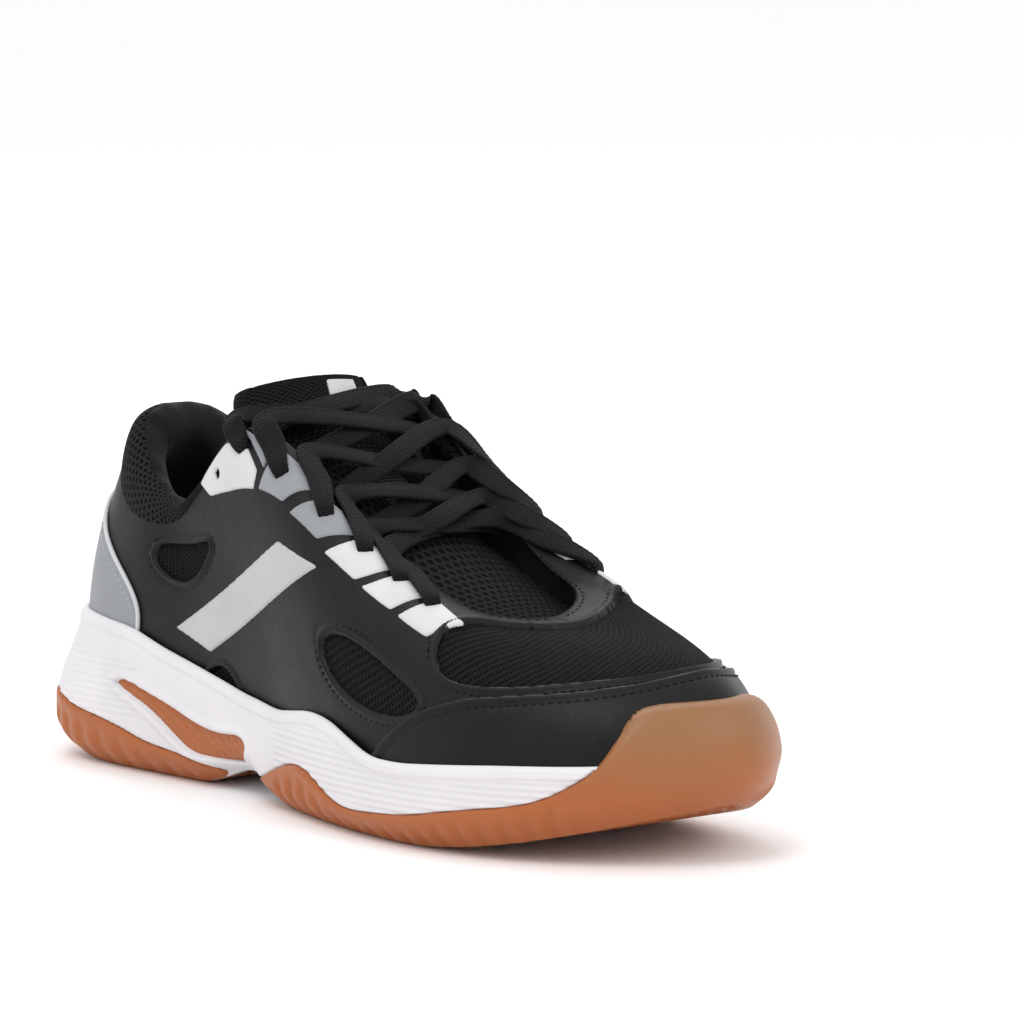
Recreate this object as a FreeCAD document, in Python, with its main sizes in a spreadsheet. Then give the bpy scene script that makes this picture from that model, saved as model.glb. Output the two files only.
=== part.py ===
import FreeCAD, Part
import math
import os

# Court shoe for the right foot, in millimetres: +X to the toe, -Y the outer (lateral) side, +Z up.
doc = FreeCAD.newDocument("CourtShoe")
Vector = FreeCAD.Vector

# ---------------------------------------------------------------- sizes
sheet = doc.addObject("Spreadsheet::Sheet", "Sizes")
rows = [
    ("shoe_length", 297.5),
    ("ball_width", 102.0),
    ("heel_height", 113.0),
    ("mesh_thickness", 1.2),
    ("leather_thickness", 1.2),
    ("trim_thickness", 0.45),
    ("cap_thickness", 1.2),
    ("lining_thickness", 1.0),
    ("stiffener_thickness", 0.7),
    ("collar_padding", 6.0),
    ("layer_gap", 0.15),
    ("sole_wall", 2.4),
    ("blade_depth", 4.0),
    ("board_thickness", 1.5),
    ("sockliner_thickness", 4.5),
    ("moving_gap", 0.4),
    ("shank_length", 50.0),
    ("shank_width", 26.0),
    ("shank_thickness", 1.6),
    ("tongue_thickness", 6.0),
    ("lace_radius", 2.0),
    ("lace_clearance", 0.8),
    ("lace_bed_clearance", 0.2),
    ("eyelet_clearance", 0.6),
    ("aglet_length", 12.0),
    ("aglet_radius", 1.3),
    ("label_thickness", 0.5),
    ("loop_thickness", 0.5),
]
for number, (name, value) in enumerate(rows, 1):
    sheet.set("A%d" % number, name)
    sheet.set("B%d" % number, str(value))
    sheet.setAlias("B%d" % number, name)
doc.recompute()


def size(name):
    return float(sheet.get(name))


# ---------------------------------------------------------------- the last, as tables round the foot
# Stations run from the heel (0) along the outer side to the toe (1); the inner side runs back to 2.
stations = [0, 0.06, 0.14, 0.25, 0.38, 0.5, 0.62, 0.74, 0.84, 0.93, 1]
outer_sole = [(-3, 0), (3, -26.5), (28, -39), (78, -37.5), (122, -41), (161, -50),
              (202, -54), (240, -48), (268, -33), (287, -12), (294, 10)]
inner_sole = [(-3, 0), (3, 25.5), (28, 37.5), (78, 35), (122, 35), (161, 41),
              (202, 48), (240, 48), (267, 42), (285, 28), (294, 10)]
outer_top = [(26, 0, 113), (29, -12, 111), (40, -20, 98), (63, -25, 87), (82, -26, 101), (101, -22, 114),
             (131, -18, 97), (156, -17, 80), (180, -14, 69), (197, -11, 64.5), (206, 6, 63)]
inner_top = [(26, 0, 113), (29, 13, 111.5), (41, 23, 101), (63, 29, 91), (87, 36, 107), (107, 36, 117),
             (134, 33, 102), (157, 30, 86), (180, 28, 73), (198, 23, 67), (206, 6, 63)]
# rim height of the sole, inset of the upper's lower edge, height of that edge
foot_line = [(49, 15, 31), (48.5, 14, 30.5), (47.5, 9, 30), (40, 4, 26), (32.5, 4, 22.8), (34.5, 4, 18.6),
             (25.5, 4, 15.2), (28.5, 4, 17.2), (30, 4, 21.6), (31.5, 5, 25), (33, 6, 27)]
# rise of the wall over its lower edge, pull of the top line outwards, drop below the top line
fullness = [(44, 8, 22), (42, 8, 22), (37, 8, 20), (28, 8, 16), (38, 14, 18), (47, 24, 18),
            (36.8, 32, 12), (34.8, 38, 9), (32.4, 44, 6), (32, 46, 4), (34, 46, 2)]
rim_line = [(-9, 49), (28, 47.5), (53, 46), (70, 41.5), (95, 36.5), (114, 33), (137, 31.2), (150, 33),
            (160, 34.5), (171, 33.8), (188, 28.8), (196, 25.8), (210, 25.7), (247, 29), (273, 30.5), (305, 34)]
floor_line = [(-9, 15), (8, 4), (22, 0.8), (34, 0), (84, 0), (92, 2), (104, 7), (112, 8), (118, 6.5),
              (126, 2), (136, 0), (200, 0), (215, 0.5), (232, 2.2), (250, 5.2), (265, 8.6), (280, 12.6), (305, 20)]
foot_bed = [(-9, 30), (40, 29), (80, 25), (120, 21.6), (160, 17.4), (200, 14.2), (240, 16), (270, 21), (305, 27)]
heel_gum = [(-9, 23), (9, 21.5), (25, 17.5), (37, 16.2), (50, 13.9), (61, 10.9), (73, 9.5), (83, 8.5), (96, 9)]
fore_gum = [(119, 7.5), (126, 8.5), (139, 14), (149, 17), (158, 16.5), (168, 12.2), (176, 9.2), (184, 8), (210, 10),
            (231, 14), (252, 17.5), (257, 19), (264.6, 23), (273, 30), (277, 35), (280, 43), (285, 47.5), (305, 49)]
blade_edge = [(45.8, 27.7), (50, 30.2), (56.7, 28.8), (75, 24.1), (87, 20.2), (98, 18.5), (112.6, 20.1),
              (117.8, 17.4), (115.5, 13), (113, 10.5), (104, 9.6), (96, 9.4), (84, 9.6), (75, 14.3),
              (63.6, 21.1), (51, 25.5)]
HEEL_HEIGHT = 113.0
BALL_WIDTH = 102.0


def ring(outer, inner):
    points = [Vector(*(tuple(p) + (0,) * (3 - len(p)))) for p in outer]
    points += [Vector(*(tuple(p) + (0,) * (3 - len(p)))) for p in inner[::-1][1:-1]]
    places = stations + [2 - s for s in stations[::-1][1:]]
    curve = Part.BSplineCurve()
    curve.interpolate(Points=points, Parameters=places, PeriodicFlag=True)
    return curve


sole_ring = ring(outer_sole, inner_sole)
top_ring = ring(outer_top, inner_top)
foot_ring = ring(foot_line, foot_line)
full_ring = ring(fullness, fullness)
outline = [sole_ring.value(i / 200.0) for i in range(400)]
BACK = min(p.x for p in outline)
FRONT = max(p.x for p in outline)
LEFT = min(p.y for p in outline)
RIGHT = max(p.y for p in outline)
stretch_x = size("shoe_length") / (FRONT - BACK)
stretch_y = size("ball_width") / BALL_WIDTH
stretch_z = size("heel_height") / HEEL_HEIGHT


def real(point):
    """Carries a point of the last to the shoe: stretched to its sizes and centred on its box."""
    x = (point.x - (BACK + FRONT) / 2) * stretch_x
    y = (point.y - (LEFT + RIGHT) / 2) * stretch_y
    return Vector(x, y, point.z * stretch_z)


def ease(x):
    x = min(max(x, 0.0), 1.0)
    return x * x * (3 - 2 * x)


def curve_at(table, x):
    """Height of a table at x, in straight runs from point to point."""
    if x <= table[0][0]:
        return table[0][1]
    for (x0, z0), (x1, z1) in zip(table, table[1:]):
        if x <= x1:
            return z0 + (z1 - z0) * (x - x0) / (x1 - x0)
    return table[-1][1]


def sole_side(w):
    way = sole_ring.tangent(w % 2)[0]
    return Vector(way.y, -way.x, 0).normalize()


def sole_at(w, grow=0.0):
    return sole_ring.value(w % 2) + sole_side(w) * grow


def upper_at(w, t):
    """The outer face of the mesh: a cubic curve from the sole (t = 0) to the top line (t = 1)."""
    inset, edge = tuple(foot_ring.value(w % 2))[1:]
    rise, pull, drop = full_ring.value(w % 2)
    low = sole_at(w, -inset)
    low.z = edge
    top = top_ring.value(w % 2)
    out = Vector(low.x - top.x, low.y - top.y, 0)
    out.normalize()
    knee = low + Vector(0, 0, rise)
    brow = top + out * pull
    brow.z = top.z - drop
    s = 1 - t
    return low * s ** 3 + knee * (3 * s * s * t) + brow * (3 * s * t * t) + top * t ** 3


def upper_normal(w, t):
    t0 = min(max(t, 0.0), 0.99)
    along = upper_at(w + 0.004, t0) - upper_at(w - 0.004, t0)
    up = upper_at(w, t0 + 0.01) - upper_at(w, t0)
    return real_way(along).cross(real_way(up)).normalize()


def real_way(way):
    return Vector(way.x * stretch_x, way.y * stretch_y, way.z * stretch_z)


def shoe_at(w, t, offset=0.0):
    return real(upper_at(w, t)) + upper_normal(w, t) * offset


# ---------------------------------------------------------------- makers
def towards_ends(share):
    """Spreads a sample along an edge so that samples lie closer together near its two ends."""
    return 0.2 * share + 0.8 * (0.5 - 0.5 * math.cos(math.pi * share))


def closed_skin(place, low, high, na, nb):
    """A sheet of material between two offsets of place(a, b, offset), sewn to a solid."""
    sheets = []
    for side in (low, high):
        grid = []
        for i in range(na):
            a = towards_ends(i / (na - 1.0))
            line = []
            for j in range(nb):
                b = towards_ends(j / (nb - 1.0))
                offset = side(a, b) if callable(side) else side
                line.append(place(a, b, offset))
            grid.append(line)
        surface = Part.BSplineSurface()
        surface.interpolate(grid)
        sheets.append(surface)
    first, second = sheets
    u0, u1, v0, v1 = first.bounds()
    p0, p1, q0, q1 = second.bounds()
    faces = [first.toShape(), second.toShape()]
    edges = [(first.uIso(u0), second.uIso(p0)), (first.uIso(u1), second.uIso(p1)),
             (first.vIso(v0), second.vIso(q0)), (first.vIso(v1), second.vIso(q1))]
    for one, two in edges:
        faces.append(Part.makeRuledSurface(one.toShape(), two.toShape(), 1))
    shell = Part.makeShell(faces)
    shell.sewShape()
    solid = Part.makeSolid(Part.Shell(shell.Faces))
    if solid.Volume < 0:
        solid.reverse()
    return solid


def panel(chart, low, high, na=16, nb=8):
    """A panel of the upper: chart(a, b) gives its place (w, t), low and high its two faces."""
    def place(a, b, offset):
        w, t = chart(a, b)
        return shoe_at(w, t, offset)
    return closed_skin(place, low, high, na, nb)


def strip(w0, w1, low, high):
    """Chart of a strip round the foot, between the heights low and high, numbers or functions of w."""
    def chart(a, b):
        w = w0 + (w1 - w0) * a
        bottom = low(w) if callable(low) else low
        top = high(w) if callable(high) else high
        return w, bottom + (top - bottom) * b
    return chart


def quad(corners, inner):
    """Chart of a four-cornered patch, given on the outer side; the inner side mirrors it."""
    (w0, t0), (w1, t1), (w2, t2), (w3, t3) = corners

    def chart(a, b):
        w = (w0 * (1 - a) + w1 * a) * (1 - b) + (w3 * (1 - a) + w2 * a) * b
        t = (t0 * (1 - a) + t1 * a) * (1 - b) + (t3 * (1 - a) + t2 * a) * b
        return (2 - w if inner else w), t
    return chart


def closed_curve(points):
    curve = Part.BSplineCurve()
    curve.interpolate(Points=points, PeriodicFlag=True)
    return Part.Wire([curve.toShape()])


def stack(levels, place, count=64):
    """A solid lofted through level outlines: place(w, z) on each height of levels."""
    wires = []
    for z in levels:
        wires.append(closed_curve([real(place(2.0 * i / count, z)) for i in range(count)]))
    return Part.makeLoft(wires, True, False)


def outward(solid):
    """The same solid with its faces turned outwards."""
    if solid.Volume < 0:
        solid.reverse()
    return solid


def side_block(under, over, x0, x1, reach=90.0):
    """A block across the shoe between two height tables, seen from the side."""
    def line(table):
        points = [Vector(x0, 0, curve_at(table, x0))]
        points += [Vector(x, 0, z) for x, z in table if x0 + 1.5 < x < x1 - 1.5]
        points.append(Vector(x1, 0, curve_at(table, x1)))
        points = [real(p) for p in points]
        for p in points:
            p.y = -reach
        if len(points) < 3:
            return Part.makeLine(points[0], points[-1])
        curve = Part.BSplineCurve()
        curve.interpolate(points)
        return curve.toShape()
    bottom = line(under)
    top = line(over)
    start = Part.makeLine(bottom.Vertexes[0].Point, top.Vertexes[0].Point)
    end = Part.makeLine(bottom.Vertexes[-1].Point, top.Vertexes[-1].Point)
    wire = Part.Wire(Part.__sortEdges__([bottom, end, top, start]))
    return outward(Part.Face(wire).extrude(Vector(0, 2 * reach, 0)))


def side_cutter(points, inner):
    """A window's cutter, from points seen from the side; it cuts only the one side."""
    places = [real(Vector(x, 0, z)) for x, z in points]
    for p in places:
        p.y = 0
    face = Part.Face(closed_curve(places))
    return outward(face.extrude(Vector(0, 90 if inner else -90, 0)))


def shifted(table, by):
    return [(x, z + by) for x, z in table]


def show(name, shape):
    """Puts a finished shape in the document as the sub-part of that name."""
    node = doc.addObject("Part::Feature", name)
    node.Label = name
    node.Shape = shape
    node.Placement = FreeCAD.Placement()
    nodes[name] = node
    return node


nodes = {}
gap = size("layer_gap")
mesh = size("mesh_thickness")
leather = size("leather_thickness")
trim = size("trim_thickness")
lining = size("lining_thickness")
stiff = size("stiffener_thickness")
LEATHER_IN = gap
LEATHER_OUT = gap + leather
TRIM_IN = LEATHER_OUT + gap
TRIM_OUT = TRIM_IN + trim
CAP_OUT = TRIM_IN + size("cap_thickness")
STIFF_OUT = -mesh - 5 * gap
STIFF_IN = STIFF_OUT - stiff
LINING_OUT = STIFF_IN - 2 * gap
LINING_IN = LINING_OUT - lining


# ---------------------------------------------------------------- sole unit
def room(w):
    """Room between the mesh's outer face and the cup's wall: leather, and the toe cap in front."""
    return TRIM_IN + gap + 1.6 * (CAP_OUT - TRIM_IN) * ease((0.47 - abs(w % 2 - 1)) / 0.06)


def foot_at(w, z):
    low = 0.0
    high = 1.0
    for step in range(22):
        middle = (low + high) / 2
        if upper_at(w, middle).z < z:
            low = middle
        else:
            high = middle
    point = upper_at(w, low)
    point.z = z
    return point


def pocket_at(w, z):
    return foot_at(w, z) + sole_side(w) * (room(w) + 0.15)


def wall_at(w, z):
    """The sole's outer wall: the sole outline, rounded under, drawn in to the upper towards the rim."""
    low = sole_at(w, -7 * max(1 - z / 9.0, 0.0) ** 2)
    low.z = z
    high = foot_at(w, z) + sole_side(w) * (room(w) + size("sole_wall"))
    rim = foot_ring.value(w % 2).x
    s = ease((z - 18) / (rim + 2 - 18))
    return low * (1 - s) + high * s


def core_at(w, z):
    return wall_at(w, z) - sole_side(w) * size("blade_depth")


wall_levels = [0, 2.5, 5.5, 9, 18, 24, 30, 36, 42, 47, 52, 57]
body = stack(wall_levels, wall_at)
core = stack([2, 5.5, 9, 18, 24, 30, 36], core_at)
pocket = stack([8, 18, 24, 30, 36, 42, 47, 52, 57, 60], pocket_at)
pocket = pocket.common(side_block(foot_bed, [(-9, 70), (305, 70)], -8, 304))
heel_part = side_block(floor_line, heel_gum, -8, 96)
fore_part = side_block(floor_line, fore_gum, 119, 304)
blade_face = Part.Face(closed_curve([real(Vector(x, LEFT - 40, z)) for x, z in blade_edge]))
blade_block = outward(blade_face.extrude(Vector(0, 220, 0)))
below_rim = side_block(floor_line, rim_line, -8, 304)
deep = shifted(floor_line, -20)
heel_cutter = side_block(deep, heel_gum, -8, 96)
fore_cutter = side_block(deep, fore_gum, 119, 304)

heel_gum_shape = body.common(heel_part)
fore_gum_shape = body.common(fore_part).cut(pocket)
blades = body.common(blade_block).cut(core).cut(heel_cutter)
midsole_shape = body.common(below_rim).cut(pocket).cut(heel_cutter).cut(fore_cutter).cut(blades)
bed_middle = real(Vector(98.5, 4, 0))
shank_box = doc.addObject("Part::Box", "shank_plate")
shank_box.Label = "shank_plate"
shank_box.setExpression("Length", "Sizes.shank_length")
shank_box.setExpression("Width", "Sizes.shank_width")
shank_box.setExpression("Height", "Sizes.shank_thickness")
shank_box.Placement = FreeCAD.Placement(
    Vector(bed_middle.x - size("shank_length") / 2, bed_middle.y - size("shank_width") / 2, 14.5 * stretch_z),
    FreeCAD.Rotation(Vector(0, 1, 0), 4))
doc.recompute()
nodes["shank_plate"] = shank_box
midsole_shape = midsole_shape.cut(shank_box.Shape)
show("outsole_heel", heel_gum_shape)
show("midfoot_blades", blades)
show("outsole_forefoot", fore_gum_shape)
show("midsole", midsole_shape)


# the board that closes the upper, and the removable foam sockliner over it
def inside_at(w, z, clear):
    inset = foot_ring.value(w % 2).y
    point = sole_at(w, -inset - clear)
    point.z = z
    return point


def flat_piece(under, over, clear):
    def place(w, z):
        return inside_at(w, z, clear(w))
    block = stack([4, 60], place)
    return block.common(side_block(shifted(foot_bed, under), shifted(foot_bed, over), -8, 304))


board = size("board_thickness") / stretch_z
rest = size("moving_gap") / stretch_z
pad = size("sockliner_thickness") / stretch_z
show("strobel_board", flat_piece(0.1, 0.1 + board, lambda w: -LINING_IN + 0.4))
show("sockliner", flat_piece(0.1 + board + rest, 0.1 + board + rest + pad,
                             lambda w: -LINING_IN + 1.2 + 2.2 * ease(1 - min(w % 2, 2 - w % 2) / 0.3)))


# ---------------------------------------------------------------- upper, from the mesh outwards
def side_of(w):
    return min(w % 2, 2 - w % 2)


eyelets = [(0.463, 0.90), (0.520, 0.80), (0.582, 0.755), (0.648, 0.755), (0.712, 0.745), (0.752, 0.70)]
spare_eyelet = (0.393, 0.904)


def drill(shape, inner, start=0.0, end=1.0):
    """Cuts the lace holes of one side that lie between two stations."""
    for w, t in eyelets + [spare_eyelet]:
        if not start < w < end:
            continue
        place = 2 - w if inner else w
        way = upper_normal(place, t)
        foot = shoe_at(place, t, -6)
        shape = shape.cut(Part.makeCylinder(size("lace_radius") + size("eyelet_clearance"), 12, foot, way))
    return shape


def mesh_top(w):
    """Top edge of the mesh: the top line, but below the lace holes where the leather alone carries them."""
    side = side_of(w)
    return 1.0 - 0.36 * ease((side - 0.40) / 0.08) * ease((0.90 - side) / 0.08)


def leather_top(w):
    """Top edge of the leather: under the collar mesh at the heel, up to the top line from the ankle on."""
    return 0.75 + 0.235 * ease((side_of(w) - 0.15) / 0.17)


def cap_edge(w):
    """Rear edge of the toe cap."""
    table = [(0.0, 0.40), (0.1, 0.385), (0.184, 0.351), (0.265, 0.317), (0.325, 0.264), (0.37, 0.19), (0.41, 0.075)]
    return curve_at(table, abs(w - 1))


def heel_edge(w):
    """Top edge of the heel patch."""
    return curve_at([(0.0, 0.60), (0.08, 0.555), (0.13, 0.506), (0.17, 0.45), (0.2, 0.36)], abs(w))


windows = [
    [(57, 67), (60, 73), (72, 77.5), (86, 79), (89, 75), (84, 68), (74, 61.5), (62, 61)],
    [(88, 27), (89, 35), (95, 41.5), (101, 40), (108, 33), (110, 27), (99, 20)],
    [(163, 51), (166, 56.5), (174, 57.5), (187, 54), (205, 46), (207, 41), (198, 38.5), (182, 40), (169, 43)],
]
toe_window = [(210, -37), (209, -27), (214, -14), (217, 4), (214, 20), (210, 31), (214, 38), (230, 38), (246, 33),
              (257, 22), (261, 6), (256, -14), (245, -25), (232, -33), (220, -38)]
toe_cutter = Part.Face(closed_curve([real(Vector(x, y, 38)) for x, y in toe_window])).extrude(Vector(0, 0, 60))

show("vamp_mesh", panel(strip(0.55, 1.45, 0.0, mesh_top), -mesh, 0.0, 44, 10))
for inner, side, w0, w1 in [(False, "outer", 0.0, 0.55), (True, "inner", 1.45, 2.0)]:
    ground = panel(strip(w0, w1, 0.0, mesh_top), -mesh, 0.0, 48, 11)
    show("quarter_mesh_" + side, drill(ground, inner, 0.0, 0.42))
for inner, side, w0, w1 in [(False, "outer", 0.0, 1.0), (True, "inner", 1.0, 2.0)]:
    skin = panel(strip(w0, w1, 0.03, leather_top), LEATHER_IN, LEATHER_OUT, 64, 12)
    for window in windows:
        skin = skin.cut(side_cutter(window, inner))
    skin = skin.cut(toe_cutter)
    show("leather_quarter_" + side, drill(skin, inner))
show("toe_cap", panel(strip(0.60, 1.40, 0.035, cap_edge), TRIM_IN, CAP_OUT, 44, 7))
show("heel_patch", panel(strip(-0.19, 0.19, 0.25, heel_edge), TRIM_IN + gap, TRIM_IN + size("cap_thickness"), 26, 8))

silver_pads = [
    [(0.36, 0.87), (0.455, 0.745), (0.475, 0.80), (0.375, 0.985)],
    [(0.564, 0.595), (0.607, 0.587), (0.71, 0.83), (0.655, 0.83)],
    [(0.617, 0.583), (0.663, 0.572), (0.765, 0.80), (0.722, 0.83)],
    [(0.670, 0.563), (0.707, 0.523), (0.787, 0.66), (0.768, 0.77)],
]
grey_pads = [
    [(0.395, 0.985), (0.486, 0.80), (0.515, 0.885), (0.47, 0.985)],
    [(0.47, 0.745), (0.505, 0.71), (0.57, 0.86), (0.53, 0.90)],
    [(0.515, 0.66), (0.55, 0.63), (0.622, 0.80), (0.59, 0.83)],
]
band_foot = [(73, 48), (92, 42.5)]
band_head = [(129, 82), (152, 76.5)]


def seen(x, z, inner):
    """Place (w, t) of the upper's face that a side view shows at x and z, by Newton's steps."""
    w, t, step = (1.6 if inner else 0.4), 0.4, 0.001
    for turn in range(12):
        here = upper_at(w, t)
        on = upper_at(w + step, t)
        up = upper_at(w, t + step)
        xw, zw = (on.x - here.x) / step, (on.z - here.z) / step
        xt, zt = (up.x - here.x) / step, (up.z - here.z) / step
        spread = xw * zt - xt * zw
        w += ((x - here.x) * zt - (z - here.z) * xt) / spread
        t += ((z - here.z) * xw - (x - here.x) * zw) / spread
    return w, t


def band_chart(inner):
    """Chart of the side band: straight edges, as seen from the side."""
    def chart(a, b):
        ends = []
        for (x0, z0), (x1, z1) in (band_foot, band_head):
            ends.append((x0 + (x1 - x0) * a, z0 + (z1 - z0) * a))
        x = ends[0][0] + (ends[1][0] - ends[0][0]) * b
        z = ends[0][1] + (ends[1][1] - ends[0][1]) * b
        return seen(x, z, inner)
    return chart
for inner, side in [(False, "outer"), (True, "inner")]:
    for name, pads in [("eyestay_light_", silver_pads), ("eyestay_grey_", grey_pads)]:
        pieces = [drill(panel(quad(p, inner), TRIM_IN, TRIM_OUT, 5, 6), inner) for p in pads]
        show(name + side, Part.makeCompound(pieces))
    show("side_band_" + side, panel(band_chart(inner), TRIM_IN, TRIM_OUT, 6, 12))


# ---------------------------------------------------------------- upper, inside
def padding(a, b):
    return STIFF_OUT - gap - size("collar_padding") * math.sin(math.pi * min(max(b, 0.0), 1.0)) ** 0.7


def padding_face(a, b):
    return padding(a, b) - gap


def lining_face(a, b):
    return padding(a, b) - gap - lining


def collar_low(w):
    return 0.66 + 0.06 * ease((side_of(w) - 0.2) / 0.2)


collar = strip(-0.40, 0.40, collar_low, 0.97)
show("heel_counter", panel(strip(-0.22, 0.22, 0.06, 0.62), STIFF_IN, STIFF_OUT, 28, 9))
show("toe_puff", panel(strip(0.84, 1.16, 0.06, 0.5), STIFF_IN, STIFF_OUT, 22, 8))
show("collar_padding", panel(collar, padding, STIFF_OUT, 36, 9))
show("collar_lining", panel(collar, lining_face, padding_face, 36, 9))


show("upper_lining_outer", panel(strip(0.0, 1.0, 0.03, 0.64), LINING_IN, LINING_OUT, 56, 9))
show("upper_lining_inner", panel(strip(1.0, 2.0, 0.03, 0.64), LINING_IN, LINING_OUT, 56, 9))

# ---------------------------------------------------------------- tongue
# place of the tongue's middle, half its width and the drop of its sides, from the vamp to its tip
tongue_line = [
    (222, 8, 51.5, 22, 6), (210, 7.5, 55, 25, 8), (197, 7, 60.5, 27, 10), (180, 6.5, 67, 28, 11),
    (156, 5.5, 79, 25, 9), (131, 5, 95, 24, 7), (112, 4.5, 106.5, 22, 5), (104, 4.5, 111.5, 21, 4),
]
tip_line = [(98.5, 5.5, 117.9, 14, 2), (96.3, 6, 120.5, 20, 3), (94.3, 6.5, 122.9, 24.5, 4),
            (92.5, 7, 125.4, 26, 4.5), (91, 7, 128, 22, 4)]


def tongue_piece(table, count, low=None, high=0.0, along=(0.0, 1.0), across=(0.0, 1.0)):
    """A slab of the tongue, or a patch on it, between two depths and two pairs of shares of its length and width."""
    low = -size("tongue_thickness") if low is None else low
    middle = Part.BSplineCurve()
    middle.interpolate([Vector(row[0], row[1], row[2]) for row in table])
    shape = Part.BSplineCurve()
    shape.interpolate([Vector(row[3], row[4], 0) for row in table])

    def place(a, b, offset):
        m0, m1 = middle.FirstParameter, middle.LastParameter
        s0, s1 = shape.FirstParameter, shape.LastParameter
        share = along[0] + (along[1] - along[0]) * a
        centre = middle.value(m0 + (m1 - m0) * share)
        way = middle.tangent(m0 + (m1 - m0) * share)[0]
        wide, drop = tuple(shape.value(s0 + (s1 - s0) * share))[:2]
        side = 2 * (across[0] + (across[1] - across[0]) * b) - 1
        up = Vector(-way.z, 0, way.x)
        up = up * (1 if up.z > 0 else -1)
        point = centre + Vector(0, side * wide, 0) - up * (drop * side * side)
        return real(point) + up * offset
    return closed_skin(place, low, high, count, 9)


show("tongue_lower", tongue_piece(tongue_line, 16))
show("tongue_top", tongue_piece(tip_line, 7))
show("tongue_label", tongue_piece(tip_line, 5, gap, gap + size("label_thickness"), (0.45, 0.85), (0.62, 0.88)))
show("tongue_lace_loop", tongue_piece(tongue_line, 5, gap, gap + size("loop_thickness"), (0.70, 0.78), (0.53, 0.7)))

# ---------------------------------------------------------------- lace
lace = size("lace_radius")
over_gap = TRIM_OUT + size("lace_clearance") + lace
under_gap = -mesh - size("lace_clearance") - lace


def hole(row, inner, height):
    w, t = eyelets[row]
    return shoe_at(2 - w if inner else w, t, height)


def edge(row, inner, height):
    w, t = eyelets[row]
    place = 2 - w if inner else w
    rim = real(upper_at(place, 1.0))
    onward = (rim - real(upper_at(place, 0.97))).normalize()
    return rim + upper_normal(place, 0.93) * height + onward * (lace + size("lace_clearance"))


def on_pads(row, inner, height):
    w, t = eyelets[row]
    return shoe_at(2 - w if inner else w, (t + 1) / 2, height)


def crossing(row, above):
    """Where the two runs between a row and the next higher one cross, one over the other."""
    total = Vector(0, 0, 0)
    for r in (row, row - 1):
        for inner in (False, True):
            total = total + edge(r, inner, 0)
    point = total * 0.25
    point.z += lace + 0.3 if above else -lace - 0.1
    point.z += 1.6
    return point


def half_lace(start_inner, above):
    """One end of the lace from the middle of the lowest bar to its tip, as a list of bends."""
    row = len(eyelets) - 1
    inner = start_inner
    points = []
    while True:
        points.append(edge(row, inner, over_gap))
        points.append(on_pads(row, inner, over_gap))
        points.append(hole(row, inner, over_gap))
        points.append(hole(row, inner, under_gap))
        if row == 0:
            points.append(shoe_at(2 - 0.455 if inner else 0.455, 0.80, under_gap))
            return points
        points.append(edge(row, inner, under_gap))
        points.append(crossing(row, above))
        row -= 1
        inner = not inner


def rounded(points, bend):
    """Straight runs joined by arcs that touch both."""
    pieces = []
    last = points[0]
    for before, corner, after in zip(points, points[1:], points[2:]):
        back = before - corner
        on = after - corner
        turn = math.pi - back.getAngle(on)
        reach = bend * math.tan(turn / 2)
        reach = min(reach, back.Length * 0.46, on.Length * 0.46)
        back.normalize()
        on.normalize()
        if turn < 0.02:
            continue
        start = corner + back * reach
        end = corner + on * reach
        radius = reach / math.tan(turn / 2)
        centre_way = (back + on).normalize()
        centre = corner + centre_way * (radius / math.cos(turn / 2))
        middle = centre - centre_way * radius
        pieces.append(Part.makeLine(last, start))
        pieces.append(Part.Arc(start, middle, end).toShape())
        last = end
    pieces.append(Part.makeLine(last, points[-1]))
    return Part.Wire(pieces)


outer_half = half_lace(False, True)
inner_half = half_lace(True, False)
lace_points = outer_half[::-1] + inner_half
path = rounded(lace_points, 2 * lace * 0.75)
start_way = (lace_points[1] - lace_points[0]).normalize()
profile = Part.Wire([Part.makeCircle(lace, lace_points[0], start_way)])
show("lace", path.makePipeShell([profile], True, False))
bed_profile = Part.Wire([Part.makeCircle(lace + size("lace_bed_clearance"), lace_points[0], start_way)])
lace_bed = path.makePipeShell([bed_profile], True, False)
for name in ("eyestay_light_outer", "eyestay_light_inner", "eyestay_grey_outer", "eyestay_grey_inner",
             "tongue_lower", "tongue_top"):
    pressed = nodes[name].Shape.cut(lace_bed)
    nodes[name].Shape = Part.makeCompound([solid for solid in pressed.Solids if solid.Volume > 2.0])
for name, end, before in [("lace_tip_inner", lace_points[0], lace_points[1]),
                          ("lace_tip_outer", lace_points[-1], lace_points[-2])]:
    way = (end - before).normalize()
    tip = doc.addObject("Part::Cylinder", name)
    tip.Label = name
    tip.setExpression("Radius", "Sizes.aglet_radius")
    tip.setExpression("Height", "Sizes.aglet_length")
    tip.Placement = FreeCAD.Placement(end, FreeCAD.Rotation(Vector(0, 0, 1), way))
    nodes[name] = tip

# ---------------------------------------------------------------- finish
doc.recompute()
for node in doc.Objects:
    if node.isDerivedFrom("Part::Feature"):
        bad = [word for word in node.State if word in ("Invalid", "Error")]
        if bad or node.Shape.isNull() or not node.Shape.isValid():
            raise RuntimeError("%s is not sound: %s" % (node.Label, node.State))
os.makedirs("parts", exist_ok=True)
for name, node in nodes.items():
    node.Shape.exportStep("parts/%s.step" % name)
    box = node.Shape.BoundBox
    print("%-22s %2d solids %10.1f mm3  x %7.1f %7.1f  y %6.1f %6.1f  z %6.1f %6.1f" % (
        name, len(node.Shape.Solids), node.Shape.Volume, box.XMin, box.XMax, box.YMin, box.YMax, box.ZMin, box.ZMax))
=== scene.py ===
import math

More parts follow.
